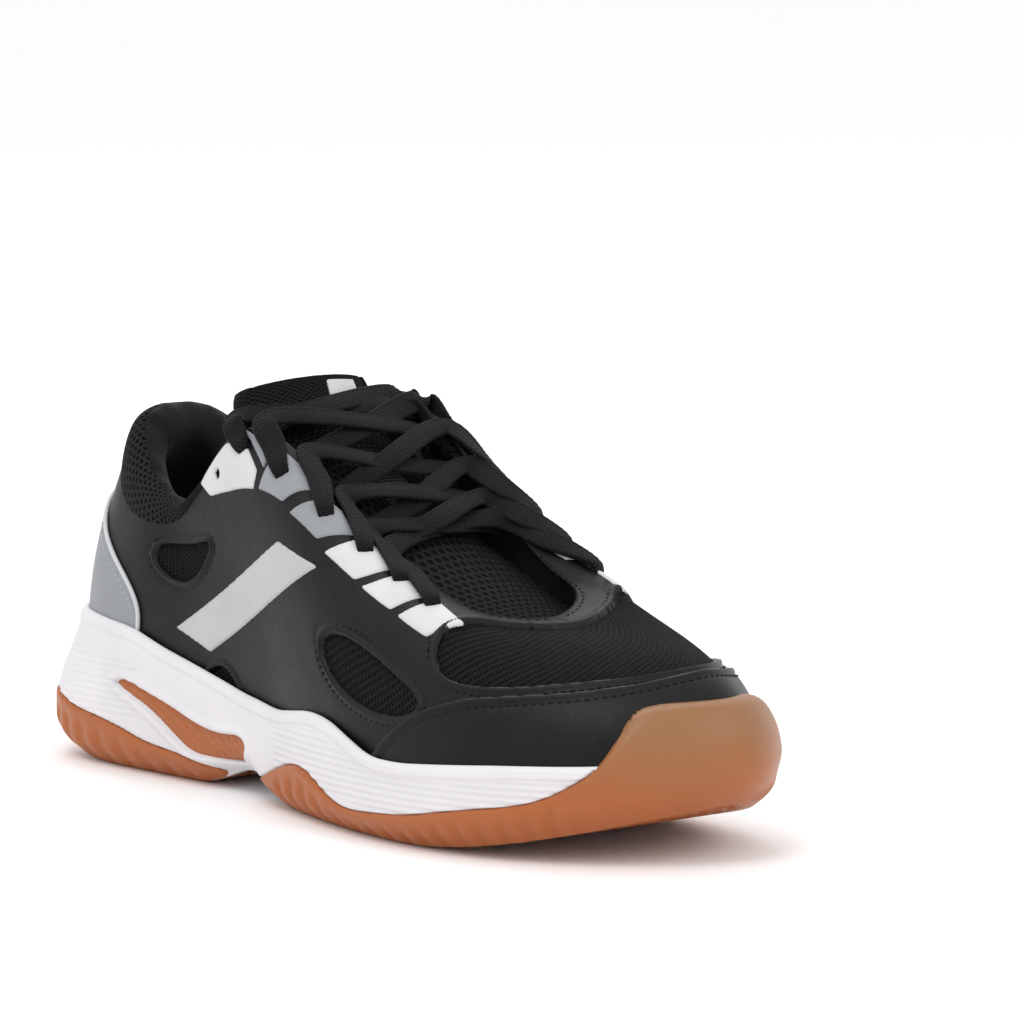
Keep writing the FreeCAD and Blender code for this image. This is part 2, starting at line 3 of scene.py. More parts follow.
import bpy
import numpy as np
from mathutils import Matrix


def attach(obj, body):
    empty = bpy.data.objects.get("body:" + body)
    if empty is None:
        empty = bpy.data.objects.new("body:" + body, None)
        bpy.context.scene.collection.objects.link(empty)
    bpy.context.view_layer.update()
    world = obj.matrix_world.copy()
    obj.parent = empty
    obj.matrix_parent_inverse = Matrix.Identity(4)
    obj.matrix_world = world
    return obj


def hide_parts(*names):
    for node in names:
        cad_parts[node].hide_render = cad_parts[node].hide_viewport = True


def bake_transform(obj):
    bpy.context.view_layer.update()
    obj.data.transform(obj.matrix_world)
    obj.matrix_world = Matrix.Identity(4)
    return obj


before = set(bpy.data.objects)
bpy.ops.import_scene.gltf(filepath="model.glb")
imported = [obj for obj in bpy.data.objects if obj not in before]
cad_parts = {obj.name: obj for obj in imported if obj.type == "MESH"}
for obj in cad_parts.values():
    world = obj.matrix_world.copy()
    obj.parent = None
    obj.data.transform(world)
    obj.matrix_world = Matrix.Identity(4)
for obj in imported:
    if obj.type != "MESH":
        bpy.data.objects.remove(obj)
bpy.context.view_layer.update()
MM = 0.001

# ---------------------------------------------------------------- midsole
# The midsole is one block of white moulded foam, cupped up round the upper. Its wall carries fine grooves
# at the heel and forefoot, and a proud lip round the rubber blade let in at the waist.
STATIONS = [0, 0.06, 0.14, 0.25, 0.38, 0.5, 0.62, 0.74, 0.84, 0.93, 1]
SHOE_LENGTH = 297.5
WALL_THICK = 2.4
OUTER_SOLE = [(-3, 0), (3, -26.5), (28, -39), (78, -37.5), (122, -41), (161, -50),
              (202, -54), (240, -48), (268, -33), (287, -12), (294, 10)]
INNER_SOLE = [(-3, 0), (3, 25.5), (28, 37.5), (78, 35), (122, 35), (161, 41),
              (202, 48), (240, 48), (267, 42), (285, 28), (294, 10)]
OUTER_TOP = [(26, 0, 113), (29, -12, 111), (40, -20, 98), (63, -25, 87), (82, -26, 101), (101, -22, 114),
             (131, -18, 97), (156, -17, 80), (180, -14, 69), (197, -11, 64.5), (206, 6, 63)]
INNER_TOP = [(26, 0, 113), (29, 13, 111.5), (41, 23, 101), (63, 29, 91), (87, 36, 107), (107, 36, 117),
             (134, 33, 102), (157, 30, 86), (180, 28, 73), (198, 23, 67), (206, 6, 63)]
FOOT_LINE = [(15, 31), (14, 30.5), (9, 30), (4, 26), (4, 22.8), (4, 18.6), (4, 15.2), (4, 17.2), (4, 21.6),
             (5, 25), (6, 27)]
FULLNESS = [(44, 8, 22), (42, 8, 22), (37, 8, 20), (28, 8, 16), (38, 14, 18), (47, 24, 18),
            (36.8, 32, 12), (34.8, 38, 9), (32.4, 44, 6), (32, 46, 4), (34, 46, 2)]
RIM = [(-9, 49), (28, 47.5), (53, 46), (70, 41.5), (95, 36.5), (114, 33), (137, 31.2), (150, 33), (160, 34.5),
       (171, 33.8), (188, 28.8), (196, 25.8), (210, 25.7), (247, 29), (273, 30.5), (305, 34)]
FLOOR = [(-9, 15), (8, 4), (22, 0.8), (34, 0), (84, 0), (92, 2), (104, 7), (112, 8), (118, 6.5), (126, 2),
         (136, 0), (200, 0), (215, 0.5), (232, 2.2), (250, 5.2), (265, 8.6), (280, 12.6), (305, 20)]
HEEL_GUM = [(-9, 23), (9, 21.5), (25, 17.5), (37, 16.2), (50, 13.9), (61, 10.9), (73, 9.5), (83, 8.5), (96, 6)]
FORE_GUM = [(112, 4), (119, 7.5), (126, 8.5), (139, 14), (149, 17), (158, 16.5), (168, 12.2), (176, 9.2), (184, 8),
            (210, 10), (231, 14), (252, 17.5), (257, 19), (264.6, 23), (273, 30), (277, 35), (280, 43), (285, 47.5),
            (305, 49)]
BLADE = [(45.8, 27.7), (50, 30.2), (56.7, 28.8), (75, 24.1), (87, 20.2), (98, 18.5), (112.6, 20.1), (117.8, 17.4),
         (115.5, 13), (113, 10.5), (104, 9.6), (96, 9.4), (84, 9.6), (75, 14.3), (63.6, 21.1), (51, 25.5)]


def ring(outer, inner):
    """A closed cubic spline round the foot: knots at the stations, second slopes from one linear system."""
    values = np.array(list(outer) + list(inner)[::-1][1:-1], float)
    knots = np.array(STATIONS + [2 - s for s in STATIONS[::-1][1:-1]])
    step = np.diff(np.append(knots, 2.0))
    count = len(knots)
    here = np.arange(count)
    system = np.zeros((count, count))
    system[here, here - 1] = np.roll(step, 1)
    system[here, here] = 2 * (step + np.roll(step, 1))
    system[here, (here + 1) % count] = step
    rise = (np.roll(values, -1, 0) - values) / step[:, None]
    second = np.linalg.solve(system, 6 * (rise - np.roll(rise, 1, 0)))

    def at(w):
        w = np.mod(np.asarray(w, float), 2)
        i = np.clip(np.searchsorted(knots, w, side="right") - 1, 0, count - 1)
        j = (i + 1) % count
        h = step[i][..., None]
        b = ((w - knots[i]) / step[i])[..., None]
        a = 1 - b
        return a * values[i] + b * values[j] + ((a ** 3 - a) * second[i] + (b ** 3 - b) * second[j]) * h * h / 6
    return at


sole_ring = ring(OUTER_SOLE, INNER_SOLE)
top_ring = ring(OUTER_TOP, INNER_TOP)
foot_ring = ring(FOOT_LINE, FOOT_LINE)
full_ring = ring(FULLNESS, FULLNESS)
outline = sole_ring(np.arange(400) / 200.0)
BACK, FRONT = outline[:, 0].min(), outline[:, 0].max()
LEFT, RIGHT = outline[:, 1].min(), outline[:, 1].max()
STRETCH = np.array([SHOE_LENGTH / (FRONT - BACK), 1.0, 1.0])
CENTRE = np.array([(BACK + FRONT) / 2, (LEFT + RIGHT) / 2, 0.0])


def real(points):
    """Carries points of the last to the shoe's own frame, in millimetres."""
    return (points - CENTRE) * STRETCH


def ease(x):
    x = np.clip(x, 0.0, 1.0)
    return x * x * (3 - 2 * x)


def table(rows, x):
    """Height of a side-view table at x: straight runs, averaged over 5 mm either way to round its corners."""
    xs, zs = np.array(rows, float).T
    shifts = np.linspace(-5, 5, 11)
    return np.interp(np.asarray(x, float)[..., None] + shifts, xs, zs).mean(-1)


def across(w):
    """Level unit vector out of the sole's outline at w."""
    way = sole_ring(w + 0.001) - sole_ring(w - 0.001)
    out = np.stack([way[..., 1], -way[..., 0]], -1)
    return out / np.linalg.norm(out, axis=-1, keepdims=True)


def upper_at(w, t):
    """The upper's mesh face: a cubic curve at each w from the sole edge (t = 0) to the top line (t = 1)."""
    w = np.asarray(w, float)
    t = np.asarray(t, float)[..., None]
    inset, edge = np.moveaxis(foot_ring(w), -1, 0)
    rise, pull, drop = np.moveaxis(full_ring(w), -1, 0)
    low = np.concatenate([sole_ring(w) - across(w) * inset[..., None], edge[..., None]], -1)
    top = top_ring(w)
    out = low[..., :2] - top[..., :2]
    out = out / np.linalg.norm(out, axis=-1, keepdims=True)
    knee = low.copy()
    knee[..., 2] += rise
    brow = top.copy()
    brow[..., :2] += out * pull[..., None]
    brow[..., 2] -= drop
    s = 1 - t
    return low * s ** 3 + knee * (3 * s * s * t) + brow * (3 * s * t * t) + top * t ** 3


def upper_normal(w, t):
    """Unit normal of the upper's face, from small steps along it and up it."""
    t0 = np.clip(t, 0.0, 0.99)
    along = (upper_at(w + 0.004, t0) - upper_at(w - 0.004, t0)) * STRETCH
    up = (upper_at(w, t0 + 0.01) - upper_at(w, t0)) * STRETCH
    normal = np.cross(along, up)
    return normal / np.linalg.norm(normal, axis=-1, keepdims=True)


def shoe_at(w, t, offset=0.0):
    """A point of the upper in millimetres, raised along the normal by offset."""
    w, t = np.broadcast_arrays(np.asarray(w, float), np.asarray(t, float))
    return real(upper_at(w, t)) + upper_normal(w, t) * np.asarray(offset, float)[..., None]


def foot_at(w, z):
    """Where the upper's face passes height z, by halving t."""
    low = np.zeros(w.shape)
    high = np.ones(w.shape)
    for _ in range(18):
        middle = (low + high) / 2
        under = upper_at(w, middle)[..., 2] < z
        low = np.where(under, middle, low)
        high = np.where(under, high, middle)
    return upper_at(w, low)[..., :2]


TRIM_IN = 1.5
CAP_OUT = TRIM_IN + 1.2


def wall_at(w, z, offset=0.0):
    """The sole's side wall: its outline, rounded under at the floor, drawn in to the upper towards the rim."""
    w, z = np.broadcast_arrays(np.asarray(w, float), np.asarray(z, float))
    flat = sole_ring(w)
    x = flat[..., 0]
    floor = table(FLOOR, x)
    under = -7 * np.clip(1 - (z - floor) / 9.0, 0, 1) ** 2
    low = flat + across(w) * under[..., None]
    room = TRIM_IN + 0.15 + (CAP_OUT - TRIM_IN) * ease((0.47 - np.abs(np.mod(w, 2) - 1)) / 0.06)
    high = foot_at(w, np.clip(z, 15, 60)) + across(w) * (room + WALL_THICK)[..., None]
    s = ease((z - 18) / (table(RIM, x) + 2 - 18))[..., None]
    point = low * (1 - s) + high * s + across(w) * np.asarray(offset, float)[..., None]
    return real(np.concatenate([point, z[..., None]], -1))


def mesh_piece(name, points, faces, smooth=True, uv=None):
    """A mesh object from points in millimetres and faces of vertex numbers (all with as many corners)."""
    faces = np.asarray(faces, np.int32)
    mesh = bpy.data.meshes.new(name)
    mesh.vertices.add(len(points))
    mesh.vertices.foreach_set("co", (np.asarray(points, float) * MM).ravel())
    sides = faces.shape[1]
    mesh.loops.add(faces.size)
    mesh.loops.foreach_set("vertex_index", faces.ravel())
    mesh.polygons.add(len(faces))
    mesh.polygons.foreach_set("loop_start", np.arange(len(faces), dtype=np.int32) * sides)
    mesh.polygons.foreach_set("use_smooth", np.full(len(faces), smooth))
    mesh.update(calc_edges=True)
    if uv is not None:
        layer = mesh.uv_layers.new(name="chart")
        layer.data.foreach_set("uv", np.asarray(uv, float)[faces.ravel()].ravel())
    mesh.validate()
    piece = bpy.data.objects.new(name, mesh)
    bpy.context.scene.collection.objects.link(piece)
    return piece


def grid_faces(rows, columns, close_rows=False, close_columns=False, first=0):
    """Quads of a grid whose point (i, j) has number i * columns + j, closed round either way if asked."""
    i = np.arange(rows if close_rows else rows - 1)[:, None]
    j = np.arange(columns if close_columns else columns - 1)[None, :]
    ii = (i + 1) % rows
    jj = (j + 1) % columns
    quads = np.stack([i * columns + j, ii * columns + j, ii * columns + jj, i * columns + jj], -1)
    return quads.reshape(-1, 4) + first


def turned_out(piece):
    """Turns the faces of a closed piece outwards, by the sign of its volume."""
    mesh = piece.data
    mesh.calc_loop_triangles()
    corners = np.empty(len(mesh.vertices) * 3)
    mesh.vertices.foreach_get("co", corners)
    corners = corners.reshape(-1, 3)
    corners = corners - corners.mean(0)
    triangles = np.empty(len(mesh.loop_triangles) * 3, np.int32)
    mesh.loop_triangles.foreach_get("vertices", triangles)
    a, b, c = corners[triangles.reshape(-1, 3)].transpose(1, 0, 2)
    if np.einsum("ij,ij->i", a, np.cross(b, c)).sum() < 0:
        mesh.flip_normals()
    return piece


def add(tree, kind, inputs, **settings):
    """Adds a node, gives it its settings, and sets or joins the inputs named."""
    made = tree.nodes.new(kind)
    for key, value in settings.items():
        setattr(made, key, value)
    for key, value in inputs.items():
        if isinstance(value, bpy.types.NodeSocket):
            tree.links.new(value, made.inputs[key])
        else:
            made.inputs[key].default_value = value
    return made


def finish_material(name, colour, roughness, **plain):
    """A material with one shader; plain values such as Sheen_Weight are set on the shader's own sockets."""
    made = bpy.data.materials.new(name)
    made.use_nodes = True
    tree = made.node_tree
    shader = tree.nodes["Principled BSDF"]
    shader.inputs["Base Color"].default_value = (*colour, 1)
    shader.inputs["Roughness"].default_value = roughness
    for key, value in plain.items():
        shader.inputs[key.replace("_", " ")].default_value = value
    return made, tree, shader


def grain(tree, scale, detail=3.0, kind="Object"):
    """Fine noise that stays with the piece."""
    place = add(tree, "ShaderNodeTexCoord", {})
    return add(tree, "ShaderNodeTexNoise", {"Vector": place.outputs[kind], "Scale": scale, "Detail": detail})


def raise_by(tree, shader, height, distance, strength=1.0, below=None):
    """A bump on the shader, its height times a distance in metres."""
    inputs = {"Height": height, "Distance": distance, "Strength": strength}
    if below is not None:
        inputs["Normal"] = below.outputs["Normal"]
    bump = add(tree, "ShaderNodeBump", inputs)
    tree.links.new(bump.outputs["Normal"], shader.inputs["Normal"])
    return bump


def shade_between(tree, shader, amount, dark, light, low=0.3, high=0.7, socket="Base Color"):
    """Colours the surface between two colours, or roughnesses, by an amount."""
    ramp = add(tree, "ShaderNodeValToRGB", {"Fac": amount})
    ramp.color_ramp.elements[0].position = low
    ramp.color_ramp.elements[1].position = high
    ramp.color_ramp.elements[0].color = (*dark, 1)
    ramp.color_ramp.elements[1].color = (*light, 1)
    tree.links.new(ramp.outputs["Color"], shader.inputs[socket])
    return ramp


foam, tree, shader = finish_material("white_foam", (0.70, 0.68, 0.70), 0.62, Specular_IOR_Level=0.35)
patches = grain(tree, 35)
shade_between(tree, shader, patches.outputs["Fac"], (0.66, 0.645, 0.665), (0.72, 0.70, 0.725))
pores = grain(tree, 1600, 2)
raise_by(tree, shader, pores.outputs["Fac"], 0.00008, 0.5)


def cubic_spline(f, p0, p1, p2, p3):
    """A point of a uniform cubic B-spline at a share f of the span that four of its points hold."""
    first = (1 - f) ** 3
    second = 3 * f ** 3 - 6 * f ** 2 + 4
    third = -3 * f ** 3 + 3 * f ** 2 + 3 * f + 1
    return (first * p0 + second * p1 + third * p2 + f ** 3 * p3) / 6


def segment_distance(points, line, closed=True):
    """Shortest distance of each point to a line of straight segments, and the nearest place on it."""
    ends = np.roll(line, -1, 0) if closed else line[1:]
    starts = line if closed else line[:-1]
    best = np.full(len(points), 1e9)
    where = np.zeros(len(points), int)
    share = np.zeros(len(points))
    for k in range(0, len(points), 4000):
        block = points[k:k + 4000, None]
        run = ends - starts
        along = ((block - starts) * run).sum(-1) / np.maximum((run * run).sum(-1), 1e-12)
        along = np.clip(along, 0, 1)
        gap = np.linalg.norm(block - (starts + along[..., None] * run), axis=-1)
        pick = gap.argmin(1)
        rows = np.arange(len(pick))
        best[k:k + 4000] = gap[rows, pick]
        where[k:k + 4000] = pick
        share[k:k + 4000] = along[rows, pick]
    return best, where, share


def wall_chart(rows, inner):
    """Side-view points (x, z) as places (w, z) on the sole's wall, on its outer or inner side."""
    w = np.linspace(0.02, 0.98, 400)
    x = sole_ring(2 - w if inner else w)[:, 0]
    rows = np.array(rows, float)
    found = np.interp(rows[:, 0], x, w)
    return np.stack([2 - found if inner else found, rows[:, 1]], -1)


def rounded_line(points, rounds=3, closed=True):
    """Cuts the corners of a line over and over, a quarter of each run from each end."""
    points = np.asarray(points, float)
    for _ in range(rounds):
        ahead = np.roll(points, -1, 0)
        if not closed:
            ahead = points[1:]
            points = points[:-1]
        points = np.stack([points * 0.75 + ahead * 0.25, points * 0.25 + ahead * 0.75], 1).reshape(-1, 2)
    return points


blade_lines = [rounded_line(wall_chart(BLADE, inner), 2) for inner in (False, True)]
WALL_MM = 340.0


def blade_distance(w, z):
    """Distance in millimetres from the nearer blade's edge, negative inside it."""
    flat = np.stack([np.mod(w, 2) * WALL_MM, z], -1).reshape(-1, 2)
    out = np.full(len(flat), 1e9)
    for line in blade_lines:
        scaled = line * [WALL_MM, 1]
        gap, _, _ = segment_distance(flat, scaled)
        out = np.minimum(out, np.where(inside_of(flat, scaled), -gap, gap))
    return out.reshape(w.shape)


def inside_of(points, line):
    """True for points inside a closed line, by counting the crossings of a level ray."""
    x, y = points[:, 0], points[:, 1]
    found = np.zeros(len(points), bool)
    for (x0, y0), (x1, y1) in zip(line, np.roll(line, -1, 0)):
        if y0 != y1:
            found ^= ((y0 > y) != (y1 > y)) & (x < (x1 - x0) * (y - y0) / (y1 - y0) + x0)
    return found


def gum_top(w):
    """Height of the rubber's upper edge on the wall, below the floor where there is none."""
    x = sole_ring(w)[..., 0]
    return np.where(x < 104, table(HEEL_GUM, x), table(FORE_GUM, x))


def groove_zone(x, z, floor, rim):
    """1 where the foam's wall carries the fine level grooves: heel and forefoot bands."""
    height = (z - floor) / (rim - floor)
    heel = ease((62 - x) / 6) * ease((height - 0.34) / 0.06) * ease((0.80 - height) / 0.06)
    fore = ease((x - 134) / 6) * ease((height - 0.30) / 0.08) * ease((0.86 - height) / 0.06)
    return np.clip(heel + fore, 0, 1)


columns = 640
w = np.linspace(0, 2, columns, endpoint=False)
x_w = sole_ring(w)[:, 0]
floor_w = table(FLOOR, x_w)
rim_w = table(RIM, x_w)
heights = np.linspace(0, 1, 92)[:, None]
z = floor_w + (rim_w - 1.2 - floor_w) * heights
W = np.broadcast_to(w, z.shape)
X = np.broadcast_to(x_w, z.shape)
level = np.cos(2 * np.pi * (z - 0.02 * X) / 2.1)
relief = -0.32 * groove_zone(X, z, floor_w, rim_w) * ease(0.5 + 0.9 * level)
edge = blade_distance(W, z)
relief += 0.9 * np.exp(-((edge - 1.0) / 1.3) ** 2) * (edge > -2) - 1.6 * ease(-edge / 0.8)
relief -= 1.4 * ease((gum_top(W) - z + 0.4) / 0.8)
relief += 0.5 * ease((z - rim_w + 4.2) / 1.0) * (1 - ease((z - rim_w + 1.6) / 1.4))
rows = [wall_at(W, z, relief)]
turn = np.linspace(0, math.pi, 9)[1:, None]
half = WALL_THICK / 2
lip = half * (np.cos(turn) - 1) + 0 * w
rows.append(wall_at(np.broadcast_to(w, lip.shape), rim_w - half + half * np.sin(turn), lip))
inner_z = rim_w - half - np.array([3.0, 8.0, 13.0])[:, None]
rows.append(wall_at(np.broadcast_to(w, inner_z.shape), inner_z, -WALL_THICK + 0 * inner_z))
rows.append(wall_at(w[None], floor_w[None] + 3.0, -8.0 + 0 * w[None]))
points = np.concatenate(rows)
count = len(points)
uv = np.stack(np.broadcast_arrays(w * 34, np.arange(count)[:, None] * 0.05), -1)
midsole = mesh_piece("midsole_wall", points.reshape(-1, 3), grid_faces(count, columns, True, True),
                     uv=uv.reshape(-1, 2))
turned_out(midsole)
midsole.data.materials.append(foam)
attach(midsole, "root")


def bottom_plate(name, x0, x1, tread, thick=3.0, step=1.1):
    """A slab across the sole between two lengths: straight lines from the outer wall's foot to the inner one."""
    w_line = np.linspace(0.0, 1.0, 800)
    xo = sole_ring(w_line)[:, 0]
    xi = sole_ring(2 - w_line)[:, 0]
    xs = np.linspace(x0, x1, int((x1 - x0) / step))
    wo = np.interp(xs, xo, w_line)
    wi = 2 - np.interp(xs, xi, w_line)
    foot = table(FLOOR, xs)
    outer = wall_at(wo, foot + 0.6, -0.4 + 0 * xs)
    inner = wall_at(wi, foot + 0.6, -0.4 + 0 * xs)
    share = np.linspace(0, 1, 84)[None, :, None]
    base = outer[:, None] * (1 - share) + inner[:, None] * share
    low = base.copy()
    low[..., 2] = foot[:, None]
    cut = tread(low[..., 0], low[..., 1], np.broadcast_to(share[..., 0], low.shape[:2]))
    low[..., 2] += cut
    high = base.copy()
    high[..., 2] = foot[:, None] + thick
    n, m = low.shape[:2]
    loop = np.concatenate([low, high[:, ::-1]], 1)
    faces = grid_faces(n, 2 * m, False, True)
    ends = []
    for row in (0, n - 1):
        k = row * 2 * m + np.arange(m - 1)
        back = row * 2 * m + 2 * m - 1 - np.arange(m - 1)
        quad = np.stack([k, k + 1, back - 1, back], -1)
        ends.append(quad if row else quad[:, ::-1])
    piece = mesh_piece(name, loop.reshape(-1, 3), np.concatenate([faces] + ends),
                       uv=loop.reshape(-1, 3)[:, :2] * 0.1)
    return turned_out(piece)


def plain_waist(x, y, share):
    """Two shallow lengthwise channels under the waist."""
    return 0.8 * (0.5 - 0.5 * np.cos(2 * np.pi * share * 3)) * ease(share * 8) * ease((1 - share) * 8)


waist = bottom_plate("midsole_waist", 88, 132, plain_waist)
waist.data.materials.append(foam)
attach(waist, "root")
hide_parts("midsole")

# ---------------------------------------------------------------- gum rubber outsole
# Two treads of translucent brown rubber are glued under the foam, at the heel and the forefoot, and a rubber
# blade is let into each side of the waist. The front one wraps up over the toe as a bumper.
gum, tree, shader = finish_material("gum_rubber", (0.37, 0.105, 0.026), 0.40, Specular_IOR_Level=0.35,
                                    Subsurface_Weight=0.12, Subsurface_Scale=0.004)
place = add(tree, "ShaderNodeTexCoord", {})
parts = add(tree, "ShaderNodeSeparateXYZ", {"Vector": place.outputs["Object"]})
rise_up = add(tree, "ShaderNodeMapRange", {"Value": parts.outputs["Z"], "From Min": 0.016, "From Max": 0.046})
haze = grain(tree, 60, 6)
haze_part = add(tree, "ShaderNodeMath", {0: haze.outputs["Fac"], 1: 0.35}, operation="MULTIPLY_ADD")
haze_part.inputs[2].default_value = -0.17
height_part = add(tree, "ShaderNodeMath", {0: rise_up.outputs["Result"], 1: haze_part.outputs["Value"]},
                  operation="ADD")
forward = add(tree, "ShaderNodeMapRange", {"Value": parts.outputs["X"], "From Min": 0.09, "From Max": 0.125})
bumper_part = add(tree, "ShaderNodeMath", {0: height_part.outputs["Value"], 1: forward.outputs["Result"]},
                  operation="MULTIPLY")
shade_between(tree, shader, bumper_part.outputs["Value"], (0.37, 0.105, 0.026), (0.27, 0.125, 0.050), 0.1, 0.85)
bloom = grain(tree, 900, 4)
raise_by(tree, shader, bloom.outputs["Fac"], 0.00012, 0.5)


def piece_on(name, surface, area, holes, span, step, profile, depth, scale):
    """A closed piece of sheet on a surface(a, b, offset), cut to a closed line in the chart.

    Grid points whose face crosses the line are drawn to the nearest place on it, so the cut is clean. The outer
    skin stands at profile(distance to the cut, a, b), and the inner skin at depth; a strip joins the two."""
    a0, a1, b0, b1 = span
    na = max(int((a1 - a0) / step[0]), 2) + 1
    nb = max(int((b1 - b0) / step[1]), 2) + 1
    A, B = np.meshgrid(np.linspace(a0, a1, na), np.linspace(b0, b1, nb), indexing="ij")
    flat = np.stack([A.ravel(), B.ravel()], -1)
    keep = inside_of(flat, area) if area is not None else np.ones(len(flat), bool)
    for hole in holes:
        keep &= ~inside_of(flat, hole)
    quads = grid_faces(na, nb)
    quads = quads[keep[quads].sum(1) >= 2]
    cuts = ([area] if area is not None else []) + list(holes)
    used = np.unique(quads)
    metric = np.array(scale, float)
    best = np.full(len(flat), 1e9)
    target = flat.copy()
    for cut in cuts:
        gap, where, share = segment_distance(flat[used] * metric, cut * metric)
        spot = cut[where] * (1 - share[:, None]) + np.roll(cut, -1, 0)[where] * share[:, None]
        closer = gap < best[used]
        best[used] = np.where(closer, gap, best[used])
        target[used] = np.where(closer[:, None], spot, target[used])
    moved = ~keep
    flat[moved] = target[moved]
    best[moved] = 0.0
    near = keep & (best < 0.25 * step[0] * scale[0])
    flat[near] = target[near]
    best[near] = 0.0
    number = np.full(len(flat), -1)
    number[used] = np.arange(len(used))
    quads = number[quads]
    a, b, d = flat[used, 0], flat[used, 1], best[used]
    top = surface(a, b, profile(d, a, b))
    low = surface(a, b, depth + 0 * a)
    n = len(used)
    edges = np.concatenate([quads[:, [k, (k + 1) % 4]] for k in range(4)])
    codes = edges[:, 0].astype(np.int64) * n + edges[:, 1]
    back = edges[:, 1].astype(np.int64) * n + edges[:, 0]
    rim = edges[~np.isin(codes, back)]
    wall = np.stack([rim[:, 1], rim[:, 0], rim[:, 0] + n, rim[:, 1] + n], -1)
    faces = np.concatenate([quads, quads[:, ::-1] + n, wall])
    uv = np.stack([a, b], -1) * metric * 0.1
    made = mesh_piece(name, np.concatenate([top, low]), faces, uv=np.concatenate([uv, uv]))
    return turned_out(made)


def rolled(d, thick, radius):
    """Height of a sheet's edge at a distance d inside it: a quarter round of that radius, up to its thickness."""
    return thick * np.sqrt(1 - (1 - np.clip(d / radius, 0, 1)) ** 2)


def flutes(w, z, pitch, floor, top, depth):
    """Scallops cut into the rubber's lower edge, deepest low down and gone near its upper edge."""
    wave = 0.5 - 0.5 * np.cos(2 * np.pi * w * WALL_MM / pitch)
    return -depth * wave ** 2 * ease((top - z - 2.0) / 5.0) * ease((z - floor + 1) / 3.0)


def heel_rubber(d, w, z):
    x = sole_ring(w)[..., 0]
    return -0.9 + rolled(d, 1.3, 1.1) + flutes(w, z, 7.5, table(FLOOR, x), gum_top(w), 1.1)


def fore_rubber(d, w, z):
    x = sole_ring(w)[..., 0]
    floor = table(FLOOR, x)
    top = gum_top(w)
    bumper = ease((x - 250) / 14) * ease((z - 20) / 10)
    front = ease((x - 262) / 10)
    wave = 0.5 + 0.5 * np.cos(2 * np.pi * w * WALL_MM / 2.6)
    fine = -0.35 * wave * front * ease((24 - z) / 6) * ease((z - floor) / 2)
    side = flutes(w, z, 8.5, floor, np.minimum(top, 26), 1.3) * (1 - front)
    return -0.9 + rolled(d, 1.5 + 1.4 * bumper, 1.3 + bumper) + side + fine


def rubber_area(w0, w1, low_drop=3.0):
    """Closed line round a band of rubber on the wall, from below the floor to its own top edge."""
    w = np.linspace(w0, w1, 160)
    top = np.stack([w, gum_top(w)], -1)
    low = np.stack([w[::-1], table(FLOOR, sole_ring(w[::-1])[:, 0]) - low_drop], -1)
    return np.concatenate([top, low])


def wall_skin(w, z, offset):
    """The wall as a chart (w, z), its lowest rows held at the floor line."""
    floor = table(FLOOR, sole_ring(w)[..., 0])
    return wall_at(w, np.maximum(z, floor + 0.05), offset)


w_all = np.linspace(0, 1, 2000)
heel_w = np.interp(96.0, sole_ring(w_all)[:, 0], w_all)
heel_w_in = np.interp(96.0, sole_ring(2 - w_all)[:, 0], w_all)
fore_w = np.interp(117.0, sole_ring(w_all)[:, 0], w_all)
fore_w_in = np.interp(117.0, sole_ring(2 - w_all)[:, 0], w_all)
heel_gum = piece_on("gum_heel", wall_skin, rubber_area(-heel_w_in, heel_w), [], (-heel_w_in, heel_w, 0, 24),
                    (0.0026, 0.8), heel_rubber, -3.0, (WALL_MM, 1.0))
fore_gum = piece_on("gum_forefoot", wall_skin, rubber_area(fore_w, 2 - fore_w_in), [],
                    (fore_w, 2 - fore_w_in, 0, 50), (0.0026, 0.8), fore_rubber, -3.0, (WALL_MM, 1.0))


def herringbone(x, y, share):
    """Zigzag grooves across the tread, with a plain border along its edges."""
    zig = np.abs(np.mod(y / 11.0, 1) - 0.5) * 11.0
    wave = np.cos(2 * np.pi * (x + zig) / 6.5)
    border = ease(share * 9 - 0.5) * ease((1 - share) * 9 - 0.5)
    spot = np.hypot((x - 48) / 22, (y - 2) / 22)
    inside = 1.0 - ease((spot - 0.92) / 0.05) * (1 - ease((spot - 1.0) / 0.05))
    return 1.5 * ease(0.5 + 1.6 * wave) * border * inside


heel_tread = bottom_plate("tread_heel", -2.2, 95, herringbone)
fore_tread = bottom_plate("tread_forefoot", 120, 293.0, herringbone)
blades = []
for side, line in zip(("outer", "inner"), blade_lines):
    low, high = line.min(0), line.max(0)

    def blade_rubber(d, w, z):
        wave = np.cos(2 * np.pi * (w * WALL_MM + z * 1.4) / 5.0)
        return -1.2 + 0.6 * ease(d / 2.5) - 0.35 * ease(wave * 2) * ease((d - 1.2) / 1)

    blade = piece_on("gum_blade_" + side, wall_skin, line, [], (low[0], high[0], low[1], high[1]), (0.0022, 0.7),
                     blade_rubber, -3.5, (WALL_MM, 1.0))
    blades.append(blade)
for piece in [heel_gum, fore_gum, heel_tread, fore_tread] + blades:
    piece.data.materials.append(gum)
    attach(piece, "root")
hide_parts("outsole_heel")
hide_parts("outsole_forefoot")
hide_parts("midfoot_blades")

